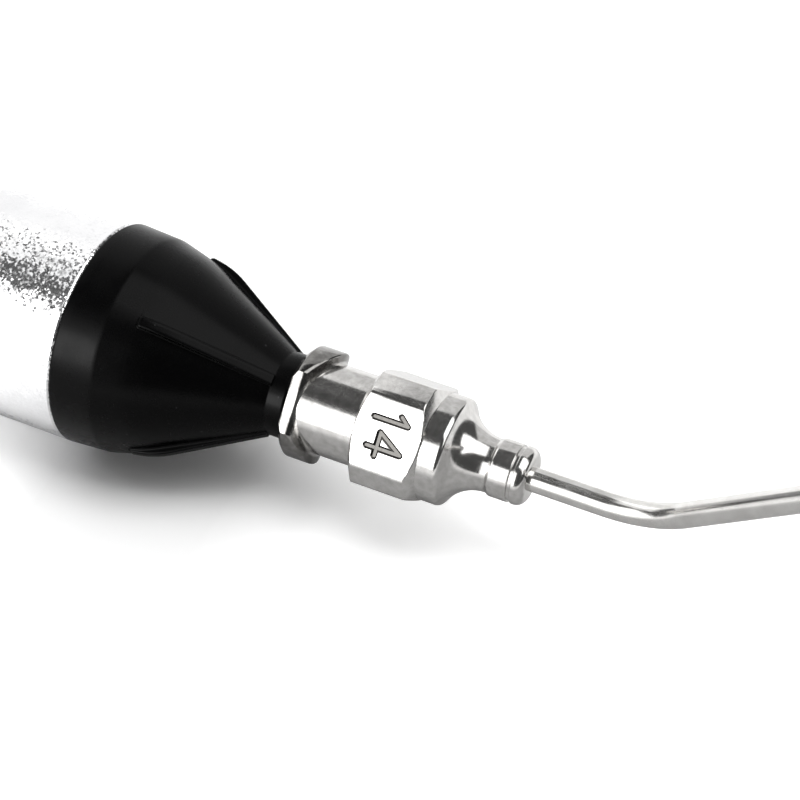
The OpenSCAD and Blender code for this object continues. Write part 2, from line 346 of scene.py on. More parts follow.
def lofted(name: str, meridians: list[list[Spot]]) -> bpy.types.Object:
    """Draws rings as on a lathe and moves their points, for a piece that is not round everywhere.

    Args:
        name: Name of the piece.
        meridians: Closed outlines with the same count of points, one for each point round a ring.

    Returns:
        The closed piece.
    """
    sides = len(meridians)
    rings = [(float(i), LOFT_R) for i in range(len(meridians[0]))]
    obj = turned(name, [*rings, rings[0]], sides)
    for vertex in obj.data.vertices:
        ring = round(vertex.co.x / MM)
        turn = math.atan2(-vertex.co.y, vertex.co.z) / (2 * math.pi)
        vertex.co = meridians[round(turn * sides) % sides][ring].place
    close_mesh(obj)
    return obj


def combine(obj: bpy.types.Object, tool: bpy.types.Object, how: Join) -> None:
    """Joins a tool shape to a piece, or cuts the piece with it, and deletes the tool.

    Args:
        obj: The piece.
        tool: The tool shape.
        how: What the tool does to the piece.
    """
    pick(obj)
    modifier = obj.modifiers.new(how.name, "BOOLEAN")
    modifier.object = tool
    modifier.operation = how.value
    modifier.solver = "EXACT"
    bpy.ops.object.modifier_apply(modifier=modifier.name)
    bpy.data.objects.remove(tool, do_unlink=True)


def keep_side(obj: bpy.types.Object, at: Vector, outwards: Vector) -> None:
    """Cuts a piece at a plane and closes the cut.

    Args:
        obj: The piece.
        at: Point on the plane in millimetres.
        outwards: Normal of the plane, on the side that is cut away.
    """
    open_mesh(obj)
    bpy.ops.mesh.bisect(
        plane_co=at * MM, plane_no=outwards, use_fill=True, clear_outer=True, threshold=CUT_GAP
    )
    bpy.ops.object.mode_set(mode="OBJECT")


def stretch(obj: bpy.types.Object, run: float) -> None:
    """Pulls the two halves of a shape at the origin apart along X, with straight sides between.

    Args:
        obj: The piece.
        run: Length of the straight sides in millimetres.
    """
    open_mesh(obj, whole=False)
    bpy.ops.mesh.select_mode(type="FACE")
    mesh = bmesh.from_edit_mesh(obj.data)
    caps = [face for face in mesh.faces if len(face.verts) > QUAD]
    bmesh.ops.delete(mesh, geom=caps, context="FACES_ONLY")
    for face in mesh.faces:
        face.select = face.calc_center_median().x > 0
    bmesh.update_edit_mesh(obj.data)
    bpy.ops.mesh.extrude_region_move(TRANSFORM_OT_translate={"value": (run * MM, 0, 0)})
    bpy.ops.mesh.select_mode(type="EDGE")
    bpy.ops.mesh.select_all(action="DESELECT")
    bpy.ops.mesh.select_non_manifold()
    if caps:
        bpy.ops.mesh.fill_holes(sides=0)
    bpy.ops.mesh.select_all(action="SELECT")
    bpy.ops.transform.translate(value=(-run / 2 * MM, 0, 0))
    bpy.ops.mesh.select_mode(type="VERT")
    close_mesh(obj)


def soften(obj: bpy.types.Object, width: float, angle: float = 30, segments: int = 2) -> None:
    """Breaks the sharp edges of a piece with a small round bevel.

    Args:
        obj: The piece.
        width: Width of the bevel in millimetres.
        angle: Smallest angle between faces, in degrees, that counts as an edge.
        segments: Faces across the bevel.
    """
    pick(obj)
    modifier = obj.modifiers.new("edge", "BEVEL")
    modifier.width = width * MM
    modifier.segments = segments
    modifier.limit_method = "ANGLE"
    modifier.angle_limit = math.radians(angle)
    modifier.use_clamp_overlap = False
    bpy.ops.object.modifier_apply(modifier=modifier.name)


def smooth(obj: bpy.types.Object, angle: float = 35) -> bpy.types.Object:
    """Shades round faces smooth and keeps flats flat.

    Args:
        obj: The piece.
        angle: Largest angle between faces, in degrees, that is shaded as round.

    Returns:
        The piece.
    """
    pick(obj)
    bpy.ops.object.shade_smooth_by_angle(angle=math.radians(angle))
    modifier = obj.modifiers.new("flats", "WEIGHTED_NORMAL")
    modifier.keep_sharp = True
    bpy.ops.object.modifier_apply(modifier=modifier.name)
    return obj


def place(obj: bpy.types.Object, matrix: Matrix) -> None:
    """Moves a piece to its place and puts the place into its mesh.

    Args:
        obj: The piece.
        matrix: Its place.
    """
    pick(obj)
    obj.matrix_world = matrix
    bpy.ops.object.transform_apply(location=True, rotation=True, scale=True)


def rolled(angle: float) -> Matrix:
    """Turn about the pen's axis, in degrees from straight up towards -Y."""
    return Matrix.Rotation(math.radians(angle), 4, "X")


def shifted(x: float, y: float = 0.0, z: float = 0.0) -> Matrix:
    """Move in millimetres."""
    return Matrix.Translation(Vector((x, y, z)) * MM)


class Shader:
    """Node tree of one finish, on Object coordinates."""

    def __init__(self, name: str) -> None:
        """Starts a material with a single principled shader.

        Args:
            name: Name of the material.
        """
        self.material = bpy.data.materials.new(name)
        self.material.use_nodes = True
        self.nodes = self.material.node_tree.nodes
        self.links = self.material.node_tree.links
        self.bsdf = next(n for n in self.nodes if n.type == "BSDF_PRINCIPLED")
        self.place = self.nodes.new("ShaderNodeTexCoord").outputs["Object"]

    def add(self, kind: str, settings: dict | None = None, **inputs) -> bpy.types.Node:
        """Adds a node.

        Args:
            kind: Node type without its ShaderNode prefix.
            settings: Properties of the node.
            **inputs: Input sockets by name, with _ for a space; a value or a socket to link.

        Returns:
            The node.
        """
        node = self.nodes.new("ShaderNode" + kind)
        for key, value in (settings or {}).items():
            setattr(node, key, value)
        for key, value in inputs.items():
            self.feed(node.inputs[key.replace("_", " ")], value)
        return node

    def feed(self, socket: bpy.types.NodeSocket, value) -> None:
        """Links a socket, or sets it where the value is plain.

        Args:
            socket: Input of a node.
            value: Output of a node, or a plain value.
        """
        if isinstance(value, bpy.types.NodeSocket):
            self.links.new(value, socket)
        else:
            socket.default_value = value

    def set(self, **inputs) -> None:
        """Sets or links inputs of the principled shader."""
        for key, value in inputs.items():
            self.feed(self.bsdf.inputs[key.replace("_", " ")], value)

    def show(self, *parts: bpy.types.Node) -> None:
        """Shows the sum of two plain shaders in place of the principled one.

        Args:
            *parts: The two shaders.
        """
        both = self.add("AddShader")
        for socket, part in zip(both.inputs, parts):
            self.feed(socket, part.outputs[0])
        end = next(n for n in self.nodes if n.type == "OUTPUT_MATERIAL")
        self.feed(end.inputs["Surface"], both.outputs[0])
        self.nodes.remove(self.bsdf)

    def noise(self, size: float, detail: float, scale: tuple = (1, 1, 1)) -> bpy.types.NodeSocket:
        """Adds a cloudy pattern.

        Args:
            size: About the size of its grains in millimetres.
            detail: Finer layers of the pattern.
            scale: Scale of the pattern along each axis.

        Returns:
            The pattern.
        """
        spread = self.add("Mapping", Vector=self.place, Scale=scale).outputs[0]
        node = self.add(
            "TexNoise", Vector=spread, Scale=1 / (size * MM), Detail=detail, Roughness=NOISE_ROUGHNESS
        )
        return node.outputs["Fac"]

    def ramp(self, value: bpy.types.NodeSocket, source: Span, target: tuple) -> bpy.types.NodeSocket:
        """Maps one range of values to another, clamped.

        Args:
            value: The value.
            source: Range that it comes in.
            target: What the ends of that range become, plain or from sockets.

        Returns:
            The mapped value.
        """
        node = self.add(
            "MapRange", Value=value, From_Min=source[0], From_Max=source[1],
            To_Min=target[0], To_Max=target[1],
        )
        return node.outputs["Result"]

    def blend(self, factor: bpy.types.NodeSocket, low, high: tuple) -> bpy.types.NodeSocket:
        """Mixes two colours.

        Args:
            factor: Share of the second colour.
            low: The first colour, plain or from a socket.
            high: The second colour, plain.

        Returns:
            The mixed colour.
        """
        node = self.add("Mix", {"data_type": "RGBA"})
        self.feed(node.inputs["Factor"], factor)
        self.feed(node.inputs[6], (*low, 1) if isinstance(low, tuple) else low)
        self.feed(node.inputs[7], (*high, 1))
        return node.outputs[2]

    def vector(self, operation: str, *values) -> bpy.types.NodeOutputs:
        """Adds a vector sum.

        Args:
            operation: Blender's name of the sum.
            *values: Its inputs in order, plain or from sockets.

        Returns:
            The outputs of the sum.
        """
        node = self.add("VectorMath", {"operation": operation})
        for socket, value in zip(node.inputs, values):
            self.feed(socket, value)
        return node.outputs

    def along(self, direction: Vector) -> bpy.types.NodeSocket:
        """Distance from the origin in a direction, in metres."""
        return self.vector("DOT_PRODUCT", self.place, tuple(direction))["Value"]

    def radius(self) -> bpy.types.NodeSocket:
        """Distance from the pen's axis, in metres."""
        flat = self.vector("MULTIPLY", self.place, (0, 1, 1))[0]
        return self.vector("LENGTH", flat)["Value"]

    def times(self, one: bpy.types.NodeSocket, other: bpy.types.NodeSocket) -> bpy.types.NodeSocket:
        """Multiplies two values.

        Args:
            one: The first value.
            other: The second value.

        Returns:
            Their product.
        """
        node = self.add("Math", {"operation": "MULTIPLY"})
        self.feed(node.inputs[0], one)
        self.feed(node.inputs[1], other)
        return node.outputs[0]

    def inside(self, value: bpy.types.NodeSocket, span: Span, edge: float) -> bpy.types.NodeSocket:
        """Tells where a value lies in a span.

        Args:
            value: The value in metres.
            span: The span in millimetres.
            edge: Width in millimetres of the soft edges outside the span.

        Returns:
            One inside the span and zero outside.
        """
        low, high = span
        rise = self.ramp(value, ((low - edge) * MM, low * MM), FULL)
        fall = self.ramp(value, (high * MM, (high + edge) * MM), FULL[::-1])
        return self.times(rise, fall)

    def facets(self, size: float, tilt: float) -> bpy.types.NodeSocket:
        """Breaks the surface into small facets, each leaning its own way.

        Args:
            size: Size of a facet in millimetres.
            tilt: How far the facets lean.

        Returns:
            The normal.
        """
        cell = size * MM
        half = (0.5, 0.5, 0.5)
        warp = self.add("TexNoise", Vector=self.place, Scale=2 / cell, Detail=1.0).outputs["Color"]
        moved = self.vector("MULTIPLY_ADD", warp, (cell / 2,) * 3, self.place)[0]
        cells = self.add("TexVoronoi", Vector=moved, Scale=1 / cell).outputs["Color"]
        centred = self.vector("SUBTRACT", cells, half)[0]
        normal = self.add("NewGeometry").outputs["Normal"]
        leaning = self.vector("MULTIPLY_ADD", centred, (2 * tilt,) * 3, normal)[0]
        return self.vector("NORMALIZE", leaning)[0]

    def bump(self, height: bpy.types.NodeSocket, depth: float, below=None) -> bpy.types.NodeSocket:
        """Raises a relief.

        Args:
            height: Height of the relief, from 0 to 1.
            depth: Its depth in millimetres.
            below: Normal of another relief under it, if any.

        Returns:
            The normal.
        """
        node = self.add("Bump", Strength=1.0, Distance=depth * MM, Height=height)
        if below is not None:
            self.feed(node.inputs["Normal"], below)
        return node.outputs["Normal"]


@dataclass(frozen=True)
class BlastedMetal:
    """Bead blasted aluminium: bright satin metal that glitters with fine facets. Sizes in millimetres."""

    name: str = "blasted_aluminium"
    colour: tuple = (0.93, 0.93, 0.935)
    darkened: tuple = (0.86, 0.86, 0.87)
    gloss: Span = (0.13, 0.19)
    cloud: float = 4.0
    grain: float = 0.15
    tilt: float = 0.1

    def material(self) -> bpy.types.Material:
        """Builds the material.

        Returns:
            The material.
        """
        shader = Shader(self.name)
        cloud = shader.noise(self.cloud, detail=3.0)
        shader.set(
            Base_Color=shader.blend(shader.ramp(cloud, MIDDLE, FULL), self.colour, self.darkened),
            Metallic=1.0,
            Roughness=shader.ramp(cloud, MIDDLE, self.gloss),
            Normal=shader.facets(self.grain, self.tilt),
        )
        return shader.material


@dataclass(frozen=True)
class MouldedPlastic:
    """Black moulded plastic with a soft gloss, a faint flow of the moulding and fine dust.

    Sizes and depths are in millimetres.
    """

    name: str = "black_plastic"
    colour: tuple = (0.0012, 0.0012, 0.0013)
    dust: tuple = (0.02, 0.02, 0.021)
    gloss: Span = (0.22, 0.32)
    shine: float = 0.078
    flow: float = 2.2
    flow_depth: float = 0.006
    skin: float = 0.12
    skin_depth: float = 0.0006
    speck_gap: float = 1.6
    speck_r: Span = (0.035, 0.06)

    def material(self) -> bpy.types.Material:
        """Builds the material.

        Returns:
            The material.
        """
        shader = Shader(self.name)
        cloud = shader.noise(self.flow, detail=3.0)
        fine = shader.noise(self.skin, detail=2.0)
        specks = shader.add("TexVoronoi", Vector=shader.place, Scale=1 / (self.speck_gap * MM))
        dust = shader.ramp(specks.outputs["Distance"], self.speck_r, FULL[::-1])
        relief = shader.bump(cloud, self.flow_depth)
        shader.set(
            Base_Color=shader.blend(dust, self.colour, self.dust),
            Roughness=shader.ramp(cloud, MIDDLE, self.gloss),
            Specular_IOR_Level=self.shine,
            Normal=shader.bump(fine, self.skin_depth, relief),
        )
        return shader.material


@dataclass(frozen=True)
class BrightPlate:
    """Bright nickel over turned brass, with tool rings, a mottled film, painted shade on the lugs and in
    the grooves of the stamped number.

    Stations, radii, sizes and depths are in millimetres.
    """

    lug_end: float
    lug_from: float
    stamped: Span
    flat_at: float
    flat_normal: Vector
    name: str = "plated_hub"
    colour: tuple = (0.68, 0.67, 0.655)
    film: tuple = (0.54, 0.53, 0.515)
    # Lug colour: painted shade that stands in for the dark reflections the lugs show.
    darker_tone: tuple = (0.19, 0.185, 0.178)
    # Colour in the stamped number's grooves: painted shade.
    groove_shade: tuple = (0.06, 0.058, 0.055)
    gloss: Span = (0.1, 0.21)
    cloud: float = 0.55
    haze: float = 0.14
    haze_at: Span = (0.3, 0.75)
    haze_depth: float = 0.0012
    pitch: float = 0.09
    ring_scale: tuple = (1, 0.02, 0.02)
    ring_depth: float = 0.0008
    # Size, soft edge, cloud range and strength of the painted shade on the lugs.
    lug_box: Point = (10.0, 9.0)
    lug_edge: float = 0.15
    lug_shade_at: Span = (0.25, 0.6)
    lug_shade: Span = (0.75, 1)
    # Depths below the flat, half width and soft edge of the painted shade in the grooves.
    groove_shade_depths: Span = (1.0, 0.06)
    groove_shade_half: float = 2.2
    groove_shade_edge: float = 0.05
    edge: float = 0.1

    def marks(self, shader: Shader) -> bpy.types.NodeSocket:
        """Finds the grooves of the stamped number, where shade is painted.

        Args:
            shader: Shader of the finish.

        Returns:
            One in the grooves and zero elsewhere.
        """
        across = ALONG.cross(self.flat_normal)
        low, high = (self.flat_at - depth for depth in self.groove_shade_depths)
        deep = shader.inside(shader.along(self.flat_normal), (low, high), self.groove_shade_edge)
        middle = shader.inside(shader.along(across), (-self.groove_shade_half, self.groove_shade_half), self.edge)
        run = shader.inside(shader.along(ALONG), self.stamped, self.edge)
        return shader.times(deep, shader.times(middle, run))

    def lugs(self, shader: Shader) -> bpy.types.NodeSocket:
        """Finds the lugs, whose plating is darkened as painted shade.

        Args:
            shader: Shader of the finish.

        Returns:
            One on the lugs and zero elsewhere.
        """
        length, reach = self.lug_box
        run = shader.inside(shader.along(ALONG), (self.lug_end - length, self.lug_end), self.edge)
        return shader.times(run, shader.inside(shader.radius(), (self.lug_from, reach), self.lug_edge))

    def material(self) -> bpy.types.Material:
        """Builds the material.

        Returns:
            The material.
        """
        shader = Shader(self.name)
        cloud = shader.noise(self.cloud, detail=4.0)
        fine = shader.noise(self.haze, detail=3.0)
        rings = shader.noise(self.pitch, detail=2.0, scale=self.ring_scale)
        relief = shader.bump(rings, self.ring_depth)
        plate = shader.blend(shader.ramp(cloud, UPPER, FULL), self.colour, self.film)
        # Painted shade: the lugs' plating is darkened, mottled by the cloud, to stand in for dark
        # reflections.
        lug_shade = shader.times(self.lugs(shader), shader.ramp(cloud, self.lug_shade_at, self.lug_shade))
        darkened = shader.blend(lug_shade, plate, self.darker_tone)
        shader.set(
            # The stamped number's grooves get painted shade.
            Base_Color=shader.blend(self.marks(shader), darkened, self.groove_shade),
            Metallic=1.0,
            Roughness=shader.ramp(fine, self.haze_at, self.gloss),
            Normal=shader.bump(fine, self.haze_depth, relief),
        )
        return shader.material


@dataclass(frozen=True)
class DrawnSteel:
    """Drawn stainless tube or rolled strip with fine lines along X. Sizes in millimetres."""

    name: str = "tube_steel"
    colour: tuple = (0.78, 0.77, 0.75)
    darker_tone: tuple = (0.66, 0.65, 0.63)
    gloss: Span = (0.13, 0.27)
    cloud: float = 1.4
    line: float = 0.06
    line_scale: tuple = (0.05, 1, 1)
    line_depth: float = 0.0005

    def material(self) -> bpy.types.Material:
        """Builds the material.

        Returns:
            The material.
        """
        shader = Shader(self.name)
        cloud = shader.noise(self.cloud, detail=3.0)
        lines = shader.noise(self.line, detail=2.0, scale=self.line_scale)
        shader.set(
            Base_Color=shader.blend(shader.ramp(cloud, UPPER, FULL), self.colour, self.darker_tone),
            Metallic=1.0,
            Roughness=shader.ramp(lines, MIDDLE, self.gloss),
            Normal=shader.bump(lines, self.line_depth),
        )
        return shader.material


@dataclass(frozen=True)
class SoftRubber:
    """Matt moulded rubber with a fine skin and a little bloom. Sizes in millimetres."""

    name: str = "cup_rubber"
    colour: tuple = (0.016, 0.016, 0.017)
    bloom: tuple = (0.034, 0.034, 0.035)
    bloom_at: Span = (0.35, 0.75)
    gloss: Span = (0.5, 0.66)
    shine: float = 0.35
    cloud: float = 1.1
    skin: float = 0.1
    skin_depth: float = 0.003

    def material(self) -> bpy.types.Material:
        """Builds the material.

        Returns:
            The material.
        """
        shader = Shader(self.name)
        cloud = shader.noise(self.cloud, detail=4.0)
        skin = shader.noise(self.skin, detail=3.0)
        shader.set(
            Base_Color=shader.blend(shader.ramp(cloud, self.bloom_at, FULL), self.colour, self.bloom),
            Roughness=shader.ramp(cloud, MIDDLE, self.gloss),
            Specular_IOR_Level=self.shine,
            Normal=shader.bump(skin, self.skin_depth),
        )
        return shader.material


def dress(
    obj: bpy.types.Object, material: bpy.types.Material, body: Body, slot: Slot, *nodes: str
) -> None:
    """Gives a finished piece its material, its body and the solids that it stands for.

    Args:
        obj: The piece.
        material: Its material.
        body: Body that it rides on.
        slot: The record's finish for the piece; not used.
        *nodes: Solids of the frame that it replaces.
    """
    obj.data.materials.clear()
    obj.data.materials.append(material)
    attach(obj, body.value)
    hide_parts(*nodes)
    LOG.info("%s: %d faces, replaces %s", obj.name, len(obj.data.polygons), ", ".join(nodes))


@dataclass
class Grip:
    """Barrel and tail cap. Sizes in millimetres."""

    start: float
    end: float
    radius: float
    wall: float = 1.0
    chamfer: float = 0.15
    edge: float = 0.12
    slot_edge: float = 0.1
    cap_round: float = 1.2
    cap_centre: float = 0.4
    plug_len: float = 8.0
    plug_wall: float = 1.5

    @property
    def bore(self) -> float:
        """Inner radius of the barrel."""
        return self.radius - self.wall

    def build_barrel(self, slot_tool: bpy.types.Object) -> bpy.types.Object:
        """Turns the barrel, chamfers its ends and mills the key's slot.

        Args:
            slot_tool: Shape of the slot, which is used up.

        Returns:
            The barrel.
        """
        lip = self.radius - self.chamfer
        corners = [
            Corner(self.start, self.bore), Corner(self.start, lip, self.edge / 2),
            Corner(self.start + self.chamfer, self.radius, self.edge),
            Corner(self.end - self.chamfer, self.radius, self.edge),
            Corner(self.end, lip, self.edge / 2), Corner(self.end, self.bore),
        ]
        barrel = turned("barrel_tube", outline(corners, closed=True))
        combine(barrel, slot_tool, Join.CUT)
        soften(barrel, self.slot_edge, angle=50)
        return smooth(barrel)

    def build_cap(self) -> bpy.types.Object:
        """Turns the tail cap with its plug.

        Returns:
            The cap.
        """
        plug_end, plug_r = self.start + self.plug_len, self.bore - self.plug_wall
        corners = [
            Corner(0, self.radius * self.cap_centre), Corner(0, self.radius, self.cap_round),
            Corner(self.start, self.radius, self.edge), Corner(self.start, self.bore),
            Corner(plug_end, self.bore, self.edge), Corner(plug_end, plug_r), Corner(self.start, plug_r),
        ]
        return smooth(turned("tail_cap_moulding", outline(corners, closed=False)))


@dataclass
class FinnedNose:
    """Moulded nose with four fins, a male taper, a spigot and the bulb's stem. Sizes in millimetres."""

    front: float
    radius: float
    bore: float
    skirt_len: float = 3.0
    skirt_draft: float = 0.2
    skirt_round: float = 1.6
    cone_corner: float = 5.9
    cone_drop: float = 0.8
    cone_round: float = 12.0
    cone_end: float = 13.7
    collar_r: float = 3.0
    collar_round: float = 0.25
    collar_edge: float = 0.12
    length: float = 14.95
    fin_count: int = 4
    fin_t: float = 0.75
    fin_start: float = 4.8
    fin_corner: float = 6.85
    fin_drop: float = 0.62
    fin_round: float = 7.0
    fin_start_round: float = 0.4
    fin_tip_h: float = 0.15
    fin_over: float = 0.1
    fin_fillet: float = 0.2
    fin_edge: float = 0.13
    fin_nib: float = 0.12
    fin_full: float = 0.05
    fin_lead: float = 0.02
    fin_trail: float = 0.01
    fillet_share: float = 0.5
    edge_share: float = 0.4
    tip_share: float = 0.8
    roll: float = 29.0
    taper_base_r: float = 2.166
    taper_tip_r: float = 1.98
    taper_len: float = 6.2
    taper_edge: float = 0.15
    air_r: float = 1.0
    stem_r: float = 2.5
    stem_len: float = 13.0
    barb_r: float = 3.0
    barb_len: float = 2.5
    core_depth: float = 4.0
    spigot_len: float = 8.0
    spigot_wall: float = 1.5
    spigot_edge: float = 0.2
    rear_edge: float = 0.1
    ring_gap: float = 0.008
    skin_gap: float = 0.01
    end_gap: float = 0.3
    start_rings: int = 8
    cone_rings: int = 12
    skirt_rings: int = 4
    arc_steps: int = 16
    fillet_steps: int = 4
    wall_steps: int = 2
    edge_steps: int = 3
    top_steps: int = 2

    @property
    def skirt_r(self) -> float:
        """Radius at the skirt's front edge."""
        return self.radius - self.skirt_draft

    @property
    def half_steps(self) -> int:
        """Steps from the middle between two fins to the middle of a fin."""
        return self.arc_steps + self.fillet_steps + self.wall_steps + self.edge_steps + self.top_steps

    @property
    def sides(self) -> int:
        """Points round the nose."""
        return 2 * self.half_steps * self.fin_count

    def skin(self) -> list[Point]:
        """Draws the outer outline between the fins.

        Returns:
            Points from the barrel to the collar's end.
        """
        corners = [
            Corner(0, self.radius), Corner(self.skirt_len, self.skirt_r, self.skirt_round),
            Corner(self.cone_corner, self.skirt_r - self.cone_drop, self.cone_round),
            Corner(self.cone_end, self.collar_r, self.collar_round), Corner(self.length, self.collar_r),
        ]
        return outline(corners, closed=False)

    def crest(self) -> list[Point]:
        """Draws the top edge of a fin.

        Returns:
            Points from the fin's start to its end on the collar.
        """
        slope = self.fin_drop / (self.fin_corner - self.skirt_len)
        start_r = self.skirt_r - slope * (self.fin_start - self.skirt_len)
        corners = [
            Corner(self.fin_start, self.collar_r), Corner(self.fin_start, start_r, self.fin_start_round),
            Corner(self.fin_corner, self.skirt_r - self.fin_drop, self.fin_round),
            Corner(self.cone_end + self.fin_over, self.collar_r + self.fin_tip_h),
        ]
        return outline(corners, closed=False)

    def inside(self) -> list[Point]:
        """Draws the outline that the skin leaves open.

        Returns:
            Points from the collar's end over the taper, through the bore and back to the barrel.
        """
        taper_end, spigot_r = self.length + self.taper_len, self.bore - self.spigot_wall
        barb_end = self.barb_len - self.stem_len
        corners = [
            Corner(self.length - self.end_gap, self.collar_r),
            Corner(self.length, self.collar_r, self.collar_edge), Corner(self.length, self.taper_base_r),
            Corner(taper_end, self.taper_tip_r, self.taper_edge), Corner(taper_end, self.air_r),
            Corner(-self.stem_len, self.air_r), Corner(-self.stem_len, self.stem_r),
            Corner(barb_end, self.barb_r), Corner(barb_end, self.stem_r),
            Corner(self.core_depth, self.stem_r), Corner(self.core_depth, spigot_r),
            Corner(-self.spigot_len, spigot_r), Corner(-self.spigot_len, self.bore, self.spigot_edge),
            Corner(0, self.bore), Corner(0, self.radius, self.rear_edge),
            Corner(self.skirt_len / 2, self.radius - self.skirt_draft / 2),
        ]
        return outline(corners, closed=False)[1:-1]

    def stations(self) -> list[float]:
        """Lists the outer rings: every corner of the skin and of the fins, and steps between.

        Returns:
            Stations of the rings in order.
        """
        marks = {round(x, 4) for x, _ in self.skin()[1:-1] + self.crest()}
        marks |= {self.fin_start - self.fin_lead, self.cone_end + self.fin_over + self.fin_trail}
        start, cone, skirt = self.start_rings, self.cone_rings, self.skirt_rings
        marks |= {self.fin_start + self.fin_t / 2 * i / start for i in range(1, start + 1)}
        marks |= {self.fin_corner + (self.cone_end - self.fin_corner) * i / cone for i in range(1, cone)}
        marks |= {self.skirt_len * i / skirt for i in range(1, skirt)}
        kept: list[float] = []
        for mark in sorted(marks):
            if not kept or mark - kept[-1] > self.ring_gap:
                kept.append(mark)
        return [x for x in kept if self.end_gap < x < self.length - self.end_gap]

    def half_section(self, x: float, skin_r: float, crest_r: float) -> list[Point]:
        """Half of the ring's sector at one station.

        Args:
            x: Station along the nose.
            skin_r: Radius between the fins.
            crest_r: Radius at the fin's top, or zero.

        Returns:
            Pairs of offset from the fin's middle plane and height over the axis, ending on that plane.
        """
        width = self.fin_t / 2
        rise = max(0.0, crest_r - skin_r)
        gone = min(max(x - self.fin_start, 0.0) / width, 1.0)
        half = width * max(self.fin_nib, math.sqrt(1 - (1 - gone) ** 2))
        fillet = min(self.fin_fillet, rise * self.fillet_share)
        edge = min(self.fin_edge, rise * self.edge_share, half * self.tip_share)
        lip = width + self.fin_fillet
        near = math.asin(lip / skin_r)
        far = math.pi / self.fin_count
        points = []
        for i in range(self.arc_steps):
            angle = far + (near - far) * i / self.arc_steps
            points.append((skin_r * math.sin(angle), skin_r * math.cos(angle)))
        fin: list[Point] = []
        base = math.sqrt(skin_r ** 2 - half ** 2)
        for i in range(self.fillet_steps):
            turn = math.pi / 2 * i / self.fillet_steps
            fin.append((half + fillet * (1 - math.sin(turn)), base + fillet * (1 - math.cos(turn))))
        low, high = base + fillet, max(base + rise - edge, base + fillet)
        for i in range(self.wall_steps):
            fin.append((half, low + (high - low) * i / self.wall_steps))
        for i in range(self.edge_steps):
            turn = math.pi / 2 * i / self.edge_steps
            fin.append((half - edge * (1 - math.cos(turn)), high + edge * math.sin(turn)))
        for i in range(self.top_steps + 1):
            fin.append(((half - edge) * (1 - i / self.top_steps), high + edge))
        share = min(1.0, rise / self.fin_full)
        for i, (off, height) in enumerate(fin):
            plain_off = lip * (1 - i / (len(fin) - 1))
            plain = math.sqrt(skin_r ** 2 - plain_off ** 2)
            points.append((plain_off + (off - plain_off) * share, plain + (height - plain) * share))
        return points

    def sector_point(self, index: int, half: list[Point]) -> Vector:
        """Finds the place of one point of a ring.

        Args:
            index: Number of the point round the nose.
            half: Half section at its station.

        Returns:
            Its place across the axis, in millimetres.
        """
        sector, step = divmod(index, 2 * self.half_steps)
        mirrored = step > self.half_steps
        off, height = half[2 * self.half_steps - step if mirrored else step]
        turn = math.radians(self.roll + sector * 360 / self.fin_count)
        side = off if mirrored else -off
        return Vector((0, -height * math.sin(turn) - side * math.cos(turn),
                       height * math.cos(turn) - side * math.sin(turn)))

    def build(self) -> bpy.types.Object:
        """Draws the rings of the nose and raises the fins on them.

        Returns:
            The nose, in its place.
        """
        skin, crest = self.skin(), self.crest()
        rings = [(x, radius_at(skin, x)) for x in self.stations()] + self.inside()
        rings.append(rings[0])
        nose = turned("nose_moulding", [(x + self.front, r) for x, r in rings], self.sides)
        first = math.radians(self.roll) - math.pi / self.fin_count
        step = 2 * math.pi / self.sides
        sections: dict[tuple, list[Point]] = {}
        for vertex in nose.data.vertices:
            x = vertex.co.x / MM - self.front
            r = math.hypot(vertex.co.y, vertex.co.z) / MM
            key = (round(x, 4), round(r, 4))
            if key not in sections:
                outside = abs(radius_at(skin, x) - r) < self.skin_gap
                sections[key] = self.half_section(x, r, radius_at(crest, x) if outside else 0.0)
            turn = math.atan2(-vertex.co.y, vertex.co.z)
            index = round((turn - first) / step) % self.sides
            spot = self.sector_point(index, sections[key]) * MM
            vertex.co.y, vertex.co.z = spot.y, spot.z
        close_mesh(nose)
        return smooth(nose, 40)


